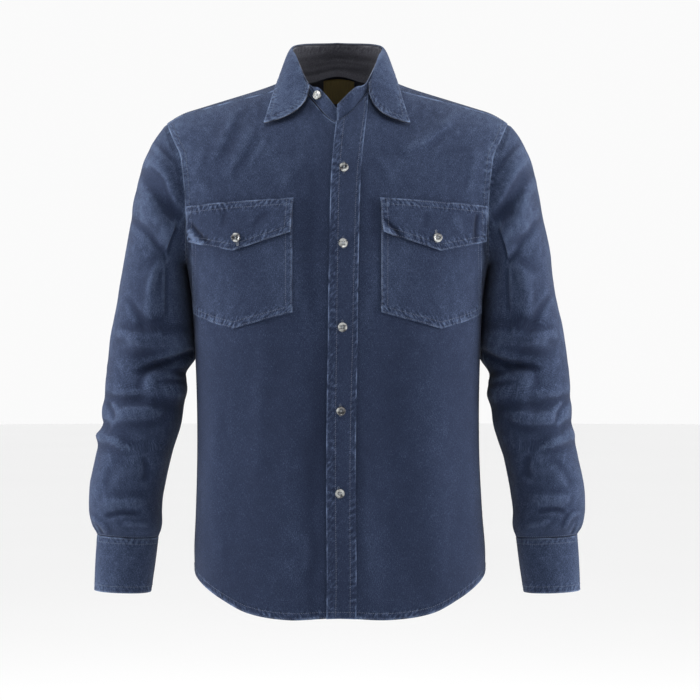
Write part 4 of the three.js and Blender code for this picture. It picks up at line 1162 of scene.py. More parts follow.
@dataclass
class Body:
    """Fronts, placket, back and yoke."""

    placket_edge: Table = Table(
        "z x",
        [
            (-770, -18.5), (-700, -17.5), (-565, -16.2), (-466, -15), (-342, -12.2),
            (-237, -10.2), (-143, -8), (-95, -4.5), (-40, 1.5),
        ],
    )
    placket_width: float = 40
    placket_lift: float = 2.3
    placket_neck_lift: float = 0.8
    underlap: float = 24
    under_depth: float = 3.2
    under_ramp: tuple[float, float] = (-75, -28)
    yoke_back_z: float = -108
    hem_stitch: float = 9
    fell: float = 8.5
    fell_lift: float = 0.7
    front_fell_from: float = 430
    # Painted shade darkens the fronts from the first of these depths down to the second, and beside the
    # placket; painted light brightens the shoulders.
    unshaded_above: float = 250
    dark_below: float = 430
    low_painted_shade: float = -0.13
    middle_painted_shade: float = -0.07
    shoulder_painted_light: float = 0.08
    buttonholes: tuple[tuple[float, float], ...] = (
        (9.4, -125.8), (8.7, -227.8), (7.4, -339.8), (4.7, -452.8), (2.2, -563.8),
    )

    def under(self, x: Array) -> Array:
        """How far the right front dips under the left near the middle."""
        return -self.under_depth * step(x, *self.under_ramp)

    def front(self, side: Side) -> Cloth:
        """Shape of a front panel."""
        sign = side.value

        def turns(z: Array, share: Array) -> Array:
            """Angles a share of the way from the middle to the side seam."""
            z = np.asarray(z, float)
            start_x = self.placket_edge.read(z, "x") + (SEAM_GAP if sign > 0 else self.underlap)
            stop = sign * (FIGURE.edge_turn(z, True) - FIGURE.side_seam_turn)
            return FIGURE.turn_along(z, FIGURE.turn_at(start_x, z, True), stop, share)

        corner_x = FIGURE.yoke_corner()[1]
        corner_z = FIGURE.height_over(np.array(corner_x), FIGURE.yoke_front_y(np.array(corner_x)))
        corner = 0.0
        half = 0.4
        while half > 0.0005:
            if FIGURE.point(turns(corner_z, np.array(corner + half)), corner_z)[0] * sign < corner_x:
                corner += half
            half /= 2
        u = lerp_shares((0, corner, 26), (corner, 1, 64))
        low = np.full(len(u), -733.0)
        high = np.full(len(u), float(corner_z))
        for _ in range(16):
            low = mix(low, FIGURE.hem.read(np.abs(turns(low, u)), "z"), 0.6)
            x = FIGURE.point(turns(high, u), high)[:, 0]
            gap = np.where(np.abs(x) < corner_x, NECK_SEAM_GAP, SEAM_GAP)
            high = mix(high, FIGURE.front_top(np.maximum(x * sign, 2)) - gap, 0.6)
        v = lerp_shares((-1, 0, 110), (0, 1, 74))[:, None]
        z = np.where(v <= 0, mix(FIGURE.chest_z, low[None], -v), mix(FIGURE.chest_z, high[None], v))
        cloth = on_torso(FIGURE.point(turns(z, np.broadcast_to(u, z.shape)), z))
        if sign < 0:
            cloth.lift(self.under(cloth.points[..., 0]))
        return cloth

    def painted_shading(self, points: Array) -> Array:
        """Painted shade that darkens the cloth low down and beside the placket, and painted light that
        brightens it on the shoulders.
        """
        x, z = points[..., 0], points[..., 2]
        low = step(-z, self.unshaded_above, self.dark_below)
        middle = np.exp(-((x / 60) ** 2)) * step(-z, 60, 130)
        shoulder = (1 - step(-z, 70, 190)) * step(np.abs(x), 60, 120)
        return self.low_painted_shade * low + self.middle_painted_shade * middle * (1 - low) + self.shoulder_painted_light * shoulder

    def fell_seam(self, cloth: Cloth, edge: Edge) -> None:
        """Raises the felled seam that joins a sleeve."""
        armhole = step(cloth.points[..., 2], FIGURE.chest_z - 3, FIGURE.chest_z + 3)
        fell = 1 - step(cloth.away(edge), self.fell - 1, self.fell + 0.6)
        cloth.lift(fell * armhole * self.fell_lift)

    def dress_front(self, side: Side) -> None:
        """Builds a front with its hem, seams and stitches."""
        cloth = self.front(side)
        cloth.wear_ridges_shade_hollows()
        # Painted shade low down and beside the placket, painted light on the shoulders.
        cloth.fade = cloth.fade + self.painted_shading(cloth.points)
        self.fell_seam(cloth, Edge.END)
        cloth.double(Edge.LOW, self.hem_stitch, 1.0)
        hem = (Edge.LOW, self.hem_stitch, 0.75, 8)
        seed = 11 if side is Side.LEFT else 23
        cloth.rope(seed, hem, (Edge.END, self.fell, 0.35, 10), (Edge.HIGH, 5, 0.25, 9))
        rows = [(Edge.LOW, far, 4, 2) for far in (self.hem_stitch, EDGE_STITCH)]
        rows += [(Edge.END, far, self.front_fell_from, 3) for far in (EDGE_STITCH, self.fell)]
        if side is Side.RIGHT:
            rows.append((Edge.START, 9, 12, 12))
        sew_up(cloth, "front", side, rows)

    def dress_placket(self) -> None:
        """Builds the band down the left front, with its two rows of stitches and its buttonholes."""
        u = np.linspace(0, 1, 19)
        v = np.linspace(0, 1, 300)[:, None]
        top = np.full(u.shape, -60.0)
        for _ in range(12):
            x = self.placket_edge.read(top, "x") + u * self.placket_width
            top = mix(top, FIGURE.front_top(x) - NECK_SEAM_GAP, 0.6)
        low = FIGURE.hem.read(np.abs(FIGURE.turn_at(u * self.placket_width - 18, -735.0, True)), "z")
        z = mix(low[None], top[None], v)
        cloth = on_torso(FIGURE.on_front(self.placket_edge.read(z, "x") + u * self.placket_width, z))
        cloth.lift(self.placket_lift + self.placket_neck_lift * step(z, -110, -55))
        bow = np.sin(np.pi * np.clip(cloth.away(Edge.START) / self.placket_width, 0, 1))
        cloth.lift(0.5 * bow)
        # Painted shade low down and beside the placket, painted light on the shoulders.
        cloth.fade = cloth.fade + self.painted_shading(cloth.points)
        cloth.rope(31, (Edge.START, 11, 0.55, 10), (Edge.END, 8, 0.45, 9), (Edge.LOW, 9, 0.3, 8))
        holes = Stitches("buttonholes_placket", THREAD, length=1.7, radius=0.3)
        for x, z in self.buttonholes:
            holes.buttonhole(cloth, x, z)
        rows = [(Edge.START, 12.5, 2, 2), (Edge.END, 8.5, 2, 2), (Edge.LOW, self.hem_stitch, 2, 2)]
        sew_up(cloth, "placket", None, rows, holes)

    def dress_back(self) -> None:
        """Builds the back panel."""
        v = lerp_shares((-1, 0, 110), (0, 1, 34))[:, None]
        u = np.linspace(-1, 1, 161)
        low = np.full(u.shape, -700.0)

        def turns(z: Array) -> Array:
            """Angles of the columns at heights."""
            stop = FIGURE.edge_turn(z, False) + FIGURE.side_seam_turn
            share = np.broadcast_to(np.abs(u), z.shape)
            return np.sign(u + 1e-12) * FIGURE.turn_along(z, np.full(z.shape, 180.0), stop, share)

        for _ in range(12):
            low = mix(low, FIGURE.hem.read(np.abs(turns(low)), "z"), 0.7)
        top = self.yoke_back_z - SEAM_GAP / 2
        z = np.where(v <= 0, mix(FIGURE.chest_z, low[None], -v), mix(FIGURE.chest_z, top, v))
        cloth = on_torso(FIGURE.point(turns(z), z), 0.5)
        cloth.wear_ridges_shade_hollows()
        rows = [(Edge.LOW, far, 2, 2) for far in (self.hem_stitch, EDGE_STITCH)]
        for k, edge in enumerate((Edge.START, Edge.END)):
            self.fell_seam(cloth, edge)
            cloth.pucker(edge, self.fell, 43 + k, 0.35, 10)
            rows += [(edge, far, 8, 3) for far in (EDGE_STITCH, self.fell)]
        cloth.double(Edge.LOW, self.hem_stitch, 1.0)
        cloth.pucker(Edge.LOW, self.hem_stitch, 41, 0.7, 8)
        sew_up(cloth, "back", None, rows)

    def dress_yoke(self) -> None:
        """Builds the yoke over both shoulders."""
        seam_part = 7 / 11
        corner_turn = FIGURE.yoke_corner()[0]
        u = np.linspace(-1, 1, 177)
        share = np.abs(u)
        inner = FIGURE.neck_seam(share * corner_turn)
        back_z = np.full(u.shape, float(self.yoke_back_z))
        back_x = FIGURE.armhole_back.read(self.yoke_back_z, "x") * np.clip(share / seam_part, 0, 1)
        on_seam = FIGURE.point(FIGURE.turn_at(back_x, self.yoke_back_z, False), back_z)
        tip = float(FIGURE.ridge(np.array(FIGURE.shoulder_tip_x)))
        middle = (tip + FIGURE.chest_z) / 2
        start = 360 - math.degrees(math.acos((self.yoke_back_z - middle) / ((tip - FIGURE.chest_z) / 2)))
        ends = np.arange(360, 400, 0.25)
        seam_y = FIGURE.yoke_front_y(np.array(FIGURE.shoulder_tip_x))
        stop = float(ends[int(np.argmax(FIGURE.armhole(ends)[:, 1] <= seam_y))])
        on_arm = FIGURE.armhole(mix(start, stop, np.clip((share - seam_part) / (1 - seam_part), 0, 1)))
        outer = np.where((share <= seam_part)[:, None], on_seam, on_arm)
        v = np.linspace(0, 1, 56)[:, None]
        x = mix(inner[None, :, 0], outer[None, :, 0] - 0.1, v)
        y = mix(inner[None, :, 1], outer[None, :, 1], v)
        z = np.where((v == 1) & (share <= seam_part), self.yoke_back_z, FIGURE.height_over(x, y))
        cloth = on_torso(vectors(np.sign(u + 1e-12) * x, y, z), 0.3)
        cloth.double(Edge.HIGH, self.fell, 0.7)
        cloth.rope(51, (Edge.HIGH, self.fell, 0.3, 9), (Edge.START, 6, 0.25, 9), (Edge.END, 6, 0.25, 9))
        rows = [(Edge.HIGH, far, 2, 2) for far in (EDGE_STITCH, self.fell)]
        for edge in (Edge.START, Edge.END):
            rows += [(edge, EDGE_STITCH, 2, 2), (edge, 7.5, 9, 9)]
        sew_up(cloth, "yoke", None, rows)

    def build(self) -> None:
        """Builds all of the body."""
        for side in Side:
            self.dress_front(side)
        self.dress_placket()
        self.dress_back()
        self.dress_yoke()


@dataclass
class Pockets:
    """Patch pockets and their pointed flaps; sizes are for the wearer's left and mirrored for the right."""

    inner: float = 59.5
    outer: float = 197
    top: float = -184
    corner: float = -321
    tip: float = -343
    tip_at: float = 0.48
    flap_inner: tuple[float, float, float, float] = (58, -168, 62, -214)
    flap_outer: tuple[float, float, float, float] = (202.5, -176, 200, -223)
    flap_tip: float = -238
    flap_lift: float = 1.6
    button: tuple[float, float] = (133.5, -221)
    creases: tuple[Fold, ...] = creases_on(
        FRONT,
        (-200, -199, -172, -227, 3.0, -2.4, 2), (-203, -207, -180, -232, 4.5, 2.2, 2),
        (-92, -186, -112, -208, 5.0, -0.9, 2), (-150, -184, -154, -204, 4.0, -0.8),
        (62, -196, 90, -226, 3.2, -2.2, -2), (58, -208, 82, -231, 4.5, 2.0, -2),
        (191, -186, 188, -229, 2.8, -2.2, 1), (120, -188, 118, -206, 4.0, -0.7),
        (160, -190, 168, -212, 5.0, 0.8),
    )

    def across(self, x1: Array, x2: Array, share: Array, z: Array) -> Array:
        """Points a share of the way across the front between two distances from the middle."""
        x1, x2, share, z = np.broadcast_arrays(x1, x2, share, z)
        turn = FIGURE.turn_along(z, FIGURE.turn_at(x1, z, True), FIGURE.turn_at(x2, z, True), share)
        return FIGURE.point(turn, z)

    def dress_pocket(self, side: Side) -> None:
        """Builds a pocket with its double row of stitches at the top and one round it."""
        sign = side.value
        u = lerp_shares((0, self.tip_at, 48), (self.tip_at, 1, 50))
        v = np.linspace(0, 1, 86)[:, None]
        towards = np.where(u < self.tip_at, u / self.tip_at, (1 - u) / (1 - self.tip_at))
        z = mix(self.top, mix(self.corner, self.tip, towards), v)
        cloth = on_torso(self.across(sign * self.inner, sign * self.outer, u, z), 0.5)
        cloth.lift(LAY_GAP + CLOTH)
        cloth.lift(0.7 * np.exp(-(((u[None] - 0.5) / 0.3) ** 2)) * (1 - v))
        seed = 61 if side is Side.LEFT else 71
        cloth.rope(seed, (Edge.HIGH, 10, 0.8, 7), (Edge.START, 4, 0.25, 9), (Edge.END, 4, 0.25, 9))
        sew_up(cloth, "pocket", side, border(EDGE_STITCH, 9))

    def dress_flap(self, side: Side) -> None:
        """Builds a flap, stitched twice round its edge."""
        sign = side.value
        u = lerp_shares((0, 0.5, 56), (0.5, 1, 56))
        v = np.linspace(0, 1, 46)[:, None]
        (ix1, iz1, ix2, iz2), (ox1, oz1, ox2, oz2) = self.flap_inner, self.flap_outer
        low = np.where(u < 0.5, mix(iz2, self.flap_tip, u * 2), mix(self.flap_tip, oz2, u * 2 - 1))
        z = mix(mix(iz1, oz1, u), low, v)
        cloth = on_torso(self.across(sign * mix(ix1, ix2, v), sign * mix(ox1, ox2, v), u, z))
        cloth.lift(2 * (LAY_GAP + CLOTH) + self.flap_lift * np.sin(v * math.pi / 1.6))
        crease = fold_height(self.creases, FRONT, cloth.points[..., 0], cloth.points[..., 2])
        crease = crease * step(v, 0, 0.25)
        cloth.lift(crease)
        # Paler where the creases rise, which is wear, and darker where they sink, which is painted shade.
        cloth.fade = cloth.fade + 0.24 * crease
        cloth.thick[:] = CLOTH + 0.2
        sides = ((edge, 8.5, 0.6, 8) for edge in (Edge.START, Edge.END))
        seed = 81 if side is Side.LEFT else 91
        cloth.rope(seed, (Edge.HIGH, 10, 0.8, 7.5), (Edge.LOW, 9, 0.7, 7.5), *sides)
        hole = Stitches(f"buttonhole_flap_{side.name.lower()}", PALE_THREAD, length=1.7, radius=0.3)
        hole.buttonhole(cloth, sign * self.button[0], self.button[1] + sign * 2.2)
        rows = [row for far in (1.6, 8.5) for row in ((Edge.LOW, far, 1, 1), *border(far))]
        sew_up(cloth, "flap", side, rows, hole)

    def build(self) -> None:
        """Builds both pockets and flaps."""
        for side in Side:
            self.dress_pocket(side)
            self.dress_flap(side)


def ring_point(row: dict[str, Array], around: Array, rounding: float = 2.15) -> Array:
    """Points of a tapering oval ring at angles, from its sizes."""
    wide = power(np.cos(np.radians(around)), 2 / rounding)
    deep = power(np.sin(np.radians(around)), 2 / rounding)
    x = (row["outX"] + row["inX"]) / 2 + wide * (row["outX"] - row["inX"]) / 2
    z = (row["outZ"] + row["inZ"]) / 2 + wide * (row["outZ"] - row["inZ"]) / 2
    return vectors(x, row["midY"] - deep * row["halfY"], z)


def degrees_from(around: Array, centre: float) -> Array:
    """How far angles lie from one angle, in degrees."""
    return np.abs(np.mod(around - centre + 180, 360) - 180)


SIZES = "outX outZ inX inZ midY halfY"


@dataclass
class Sleeves:
    """Sleeve tubes, and the narrow placket over the slit above each cuff."""

    rings: Table = Table(
        "at " + SIZES,
        [
            (1, 252, -66, 213, -262, 3, 76), (2, 266, -92, 212.5, -268, 5, 77),
            (3, 280, -142, 211.5, -276, 8, 77), (4, 291, -200, 210.5, -287, 11, 76),
            (5, 300, -252, 209.5, -303, 13, 74), (6, 308, -300, 209, -327, 15, 72),
            (7, 319, -352, 211, -363, 18, 70), (8, 325, -400, 215, -402, 20, 68),
            (9, 330, -440, 216, -440, 21, 67), (10, 331, -480, 221, -480, 18, 64),
            (11, 338, -520, 233, -522, 13, 61), (12, 346, -560, 242, -562, 8, 58),
            (13, 347, -592, 246, -594, 3, 55), (14, 343, -614, 246, -617, -1, 50),
            (15, 335.5, -628.5, 250, -632.5, -3, 41),
        ],
    )
    columns: int = 132
    rows: int = 190
    ring_count: int = 15
    middle_x: tuple[float, float] = (235, 292)
    # Strength of the wear on the ridges and of the painted shade in the hollows.
    ridge_wear_and_shade: float = 0.13
    blend_rows: float = 3.2
    seam_lap: float = 1.3
    fold_depth: float = 1.25
    seam_around: float = 172
    pleats: tuple[tuple[float, float, float, float], ...] = (
        (26.0, 3.6, 15, -2.0), (44.0, 4.2, 17, -2.2), (322.0, 4.5, 32, -2.6), (340.0, 4.5, 30, -2.4),
    )
    rest_gap: float = 0.8
    rest_from: tuple[float, float] = (240, 262)
    rest_until: tuple[float, float] = (378, 408)
    right_wander: float = 340
    slit_around: float = 308
    slit_half_width: float = 11
    slit_length: float = 118

    def plain(self, around: Array, along: Array) -> Array:
        """Smooth sleeve without its creases."""
        at = along * self.ring_count
        row = {name: self.rings.read(np.maximum(at, 1), name) for name in SIZES.split()}
        ring = ring_point(row, around)
        start = FIGURE.armhole(np.mod(around, 360)) - np.array([self.seam_lap, 0, 0])
        share = np.clip(at / self.blend_rows, 0, 1)
        blend = np.minimum(1, share * (2 - share) * 0.55 + step(at, 0, self.blend_rows) * 0.45)
        return np.where((at >= self.blend_rows)[..., None], ring, mix(start, ring, blend[..., None]))

    def point(self, around: Array, along: Array, side: Side) -> Array:
        """Points of a sleeve with its creases.

        Args:
            around: Angle from the outer edge, 90 in front.
            along: Share of the way from the armhole to the cuff.
            side: Which sleeve it is, as the creases wander differently on each.

        Returns:
            The points.
        """
        seed = 0.0 if side is Side.LEFT else self.right_wander
        around, along = np.broadcast_arrays(np.asarray(around, float), np.asarray(along, float))
        p = self.plain(around, along)
        du = self.plain(around + 1, along) - self.plain(around - 1, along)
        later, earlier = np.minimum(1, along + 0.004), np.maximum(0, along - 0.004)
        dv = self.plain(around, later) - self.plain(around, earlier)
        out = -unit(np.cross(du, dv))
        s = np.sin(np.radians(around))
        px, pz = wander(p[..., 0], p[..., 2], seed)
        high = step(s, -0.45, 0.3) * fold_height(SLEEVE_FOLDS, FRONT, px, pz)
        high = high + step(-s, -0.45, 0.3) * fold_height(SLEEVE_FOLDS, BACK, px, pz)
        high = self.fold_depth * high + 1.2 * unevenness(p + seed)
        held = step(along, 0.02, 0.12) * (1 - step(along, 0.955, 1))
        underarm = np.where(degrees_from(around, 180) < 70, step(along, 0.3, 0.5), 1)
        return (p + out * (high * held * underarm)[..., None]) * np.array([side.value, 1, 1])

    def dress(self, side: Side) -> None:
        """Builds a sleeve with its felled underarm seam and gathered cuff end."""
        around = np.arange(self.columns) * 360 / self.columns
        along = np.linspace(0, 1, self.rows)[:, None]
        cloth = Cloth(self.point(around[None], along, side), np.zeros(3), joined=True)
        middle = mix(*self.middle_x, np.clip((-cloth.points[..., 2] - 150) / 480, 0, 1))
        cloth.core = vectors(side.value * middle, 10.0, cloth.points[..., 2])
        self.crumple(cloth, around)
        self.rest_on_body(cloth, side)
        cloth.wear_ridges_shade_hollows(self.ridge_wear_and_shade)
        seam = degrees_from(around, self.seam_around)[None] * 1.15
        held = step(along, 0.02, 0.05)
        cloth.lift(0.6 * (1 - step(seam, 3.6, 4.8)) * held)
        cloth.fade = cloth.fade + 0.5 * np.exp(-((seam / 1.6) ** 2)) * held
        cloth.pucker(Edge.LOW, 4, 106 if side is Side.LEFT else 136, 0.3, 9)
        sew_up(cloth, "sleeve", side, [(Edge.HIGH, 1.5, 0, 0)])

    def rest_on_body(self, cloth: Cloth, side: Side) -> None:
        """Lets the inner side of the upper sleeve swell until it rests on the body, down to the elbow."""
        y, z = cloth.points[..., 1], cloth.points[..., 2]
        x = (cloth.points[..., 0] - FIGURE.sections.read(z, "shift")) * side.value
        front = y < 0
        rounding = np.where(front, FIGURE.front_round, FIGURE.back_round)
        half = FIGURE.sections.read(z, "half")
        level = np.clip(np.abs(y) / FIGURE.reach(z, front), 0, 1)
        body = half * (1 - level**rounding) ** (1 / rounding) + self.rest_gap
        inner = x.min(axis=1, keepdims=True)
        outer = x.max(axis=1, keepdims=True)
        zone = step(-z, *self.rest_from) * (1 - step(-z, *self.rest_until))
        share = 1 - step((x - inner) / (outer - inner), 0.0, 0.45)
        moved = x - np.maximum(0, inner - half - self.rest_gap) * share * zone
        moved = np.where(zone > 0, np.maximum(moved, np.minimum(body, x)), moved)
        cloth.points = cloth.points + vectors((moved - x) * side.value, 0.0, 0.0)

    def crumple(self, cloth: Cloth, around: Array) -> None:
        """Adds the pleats and gathers above the cuff, darkening the pleats with painted shade."""
        d = cloth.away(Edge.HIGH)
        for centre, wide, long, deep in self.pleats:
            off = degrees_from(around, centre)[None] * 0.8
            pleat = np.exp(-((off / wide) ** 2)) * np.exp(-((d / long) ** 2)) * step(d, 0, 5)
            cloth.lift(deep * pleat)
            # Painted shade in the pleats.
            cloth.fade = cloth.fade - 0.15 * pleat

    def dress_slit(self, side: Side) -> None:
        """Builds the narrow placket over the sleeve's slit."""
        v = np.linspace(0, 1, 40)[:, None]
        turn = self.slit_around + (np.linspace(0, 1, 15) - 0.5) * 2 * self.slit_half_width
        p = self.point(turn[None], 0.992 - v * self.slit_length / 640, side)
        cloth = Cloth(p, vectors(side.value * 280.0, 10.0, p[..., 2]))
        cloth.lift(LAY_GAP + CLOTH)
        cloth.rope(141, (Edge.START, 3, 0.2, 8), (Edge.END, 3, 0.2, 8))
        rows = [(edge, 1.6, 1, 1) for edge in (Edge.START, Edge.END, Edge.HIGH)]
        sew_up(cloth, "sleeve_placket", side, rows)

    def build(self) -> None:
        """Builds both sleeves."""
        for side in Side:
            self.dress(side)
            self.dress_slit(side)


@dataclass
class Cuffs:
    """Cuff bands, each lapping over itself behind the wrist."""

    top: tuple[float, ...] = (335.5, -629.5, 250, -633.5, -3, 40)
    edge: tuple[float, ...] = (339, -706, 260, -709, -8, 37.5)
    lap_from: float = 300
    lap_overlap: float = 34
    lap_rise: float = 2.9

    def point(self, u: Array, v: Array) -> Array:
        """Points of the band: u runs once round and on over the lap, v from the seam to the edge."""
        u, v = np.broadcast_arrays(u, v)
        row = {name: mix(a, b, v) for name, a, b in zip(SIZES.split(), self.top, self.edge)}
        p = ring_point(row, self.lap_from + u * (360 + self.lap_overlap))
        middle = vectors((row["outX"] + row["inX"]) / 2, row["midY"], p[..., 2])
        return p + unit(p - middle) * (self.lap_rise * step(u, 0.84, 0.9))[..., None]

    def build(self) -> None:
        """Builds both cuffs with their rows of stitches."""
        v = np.linspace(0, 1, 34)[:, None]
        rows = [(Edge.LOW, EDGE_STITCH), (Edge.LOW, 8), (Edge.HIGH, EDGE_STITCH), (Edge.HIGH, 9)]
        rows.append((Edge.END, EDGE_STITCH))
        ends = [(edge, 7, 0.3, 8) for edge in (Edge.START, Edge.END)]
        for side in Side:
            p = self.point(np.linspace(0, 1, 120)[None], v) * np.array([side.value, 1, 1])
            cloth = Cloth(p, vectors(side.value * 296.0, -5.0, p[..., 2]))
            cloth.thick[:] = DOUBLE_CLOTH
            cloth.lift(0.6 * np.sin(v * math.pi))
            cloth.fade = cloth.fade + 0.06
            seed = 151 if side is Side.LEFT else 161
            cloth.rope(seed, (Edge.LOW, 7, 0.4, 8), (Edge.HIGH, 9, 0.45, 8), *ends)
            sew_up(cloth, "cuff", side, [(*row, 2, 2) for row in rows])


@dataclass
class Collar:
    """Stand and leaf. Angles run from the centre back."""

    fold: Table = Table(
        "turn z",
        [
            (0, 63), (40, 60), (70, 54), (90, 47), (103, 40), (113, 33), (124, 18), (135, 0),
            (140, -7), (146, -11), (153, -13), (161, -20), (172, -32), (180, -40), (190, -44),
        ],
    )
    fold_oval: tuple[float, float, float, float] = (64, 89, 57, 1.8)
    leaf_edge: Table = Table(
        "share x y off",
        [
            (0, 0, 76, 4.5), (0.21, 38, 61.5, 5), (0.43, 66, 36, 5), (0.64, 78, 0, 4.5),
            (0.78, 82.5, -30, 4.5), (0.9, 89, -58, 5), (1, 97, -78, 6),
        ],
    )
    leaf_left: float = 138
    leaf_right: float = 144
    stand_over: float = 178.5
    stand_under: float = 182
    seam_lap: float = 0.035
    back_lap: float = 0.11
    left_rise: float = 1.6
    bow: float = 1.2
    leaf_thick: float = 1.9
    stand_creases: tuple[Fold, ...] = creases_on(
        BACK,
        (-70, 12, 40, 15, 1.8, -0.8, 1.5), (-20, 22, 88, 20, 1.8, 0.8, -2),
        (-84, 27, -10, 30, 1.6, -0.7, 1), (10, 31, 70, 29, 1.6, -0.7, 1),
    )

    def fold_point(self, turn: Array) -> Array:
        """Top of the stand, where the collar folds."""
        plan = pointed_oval(*self.fold_oval, turn)
        return vectors(plan[..., 0], plan[..., 1], self.fold.read(np.abs(turn), "z"))

    def dress_stand(self, body: Body) -> None:
        """Builds the stand."""
        left, right = self.leaf_left, -self.leaf_right
        turn = lerp_shares((-self.stand_under, right, 22), (right, left, 150), (left, self.stand_over, 22))
        v = np.linspace(0, 1, 22)[:, None]
        at_front = step(np.abs(turn), 118, 140)[None]
        lap = mix(self.back_lap, self.seam_lap, at_front)
        p = mix(FIGURE.neck_seam(turn)[None], self.fold_point(turn)[None], mix(-lap, 1, v)[..., None])
        bow = np.sin(v * math.pi) * self.bow + mix(-1.7, 0.9, at_front) * (1 - step(v, 0, 0.2))
        p = p + unit(p * np.array([1, 1, 0])) * bow[..., None]
        cloth = Cloth(p, vectors(0.0, 0.0, p[..., 2]))
        cloth.thick[:] = DOUBLE_CLOTH
        flush = self.left_rise * step(turn, 140, 158)[None]
        cloth.lift(np.where((turn < 0)[None], body.under(p[..., 0]) * step(-p[..., 1], 0, 30), flush))
        rows = fold_height(self.stand_creases, BACK, turn[None] * 1.1, v * 40)
        cloth.lift(rows + 0.5 * unevenness(cloth.points))
        cloth.wear_ridges_shade_hollows(0.1)
        cloth.rope(171, (Edge.HIGH, 8, 0.5, 7), (Edge.START, 5, 0.25, 8), (Edge.END, 5, 0.25, 8))
        sew_up(cloth, "collar_stand", None, [(edge, EDGE_STITCH, 1, 1) for edge in (Edge.LOW, Edge.HIGH)])

    def dress_leaf(self) -> None:
        """Builds the leaf, which rolls over the fold and lies on the shoulders down to its two points."""
        turn = np.linspace(-self.leaf_right, self.leaf_left, 300)
        sign = np.where(turn < 0, -1.0, 1.0)
        share = np.abs(turn) / np.where(turn < 0, self.leaf_right, self.leaf_left)
        fold = self.fold_point(turn)
        x, y, off = (self.leaf_edge.read(share, name) for name in ("x", "y", "off"))
        away = unit(vectors(sign * x, y, 0.0))
        edge = vectors(sign * x, y, FIGURE.height_over(x, y) + off) + away * (off * 0.6)[:, None]
        outward = unit((edge - fold) * np.array([1, 1, 0]))
        run = unit(self.fold_point(turn + 1) - self.fold_point(turn - 1))
        up = unit(np.array([0, 0, 1.0]) - run * run[:, 2:])
        to_front = step(share, 0.86, 1)[:, None]
        start = fold + up * mix(DOUBLE_CLOTH + LAY_GAP, 0.4, to_front)
        start = start + outward * mix(-1.4, 3.2, step(share, 0.76, 1))[:, None]
        front_y = float(FIGURE.on_front(np.array(39.0), np.array(-51.0))[1]) - 9
        roll = mix(fold + outward * 6 + up * 5.4, vectors(sign * 39.0, front_y, -51.0), to_front**1.5)
        v = np.linspace(0, 1, 46)[:, None, None]
        p = start * (1 - v) ** 2 + roll * 2 * v * (1 - v) + edge * v * v
        cloth = Cloth(p, np.array([0.7, 0.7, 0]) * p + np.array([0, 0, -60]))
        cloth.thick[:] = self.leaf_thick
        cloth.lift(0.7 * unevenness(cloth.points + 77) * step(v[..., 0], 0.2, 0.5))
        cloth.wear_ridges_shade_hollows(0.12)
        rubbed = np.exp(-((cloth.away(Edge.LOW) / 4) ** 2)) * (0.6 + 0.7 * NOISE.at(cloth.points, 12))
        cloth.fade = cloth.fade + 0.14 + 0.45 * rubbed
        cloth.rope(181, *((edge, 9, 0.9, 7) for edge in (Edge.HIGH, Edge.START, Edge.END)))
        sew_up(cloth, "collar_leaf", None, border(1.6, 8))

    def build(self, body: Body) -> None:
        """Builds the collar."""
        self.dress_stand(body)
        self.dress_leaf()


@dataclass
class Label:
    """Bare label inside the back of the neck."""

    middle: float = 2
    half: float = 23
    top: float = 6
    length: float = 36
    thick: float = 1.0
    gap: float = 1.3

    def build(self) -> None:
        """Builds the label under the yoke."""
        x = self.middle + np.linspace(-1, 1, 25) * self.half
        v = np.linspace(0, 1, 19)[:, None]
        y = FIGURE.neck_back * np.sqrt(1 - (x / FIGURE.neck_half) ** 2) + mix(self.top, self.length, v) * 0.8
        cloth = on_torso(vectors(x, y, FIGURE.height_over(np.broadcast_to(x, y.shape), y)))
        cloth.lift(-CLOTH - self.gap)
        cloth.thick[:] = self.thick
        sew_up(cloth, "neck_label", finish=TAPE)


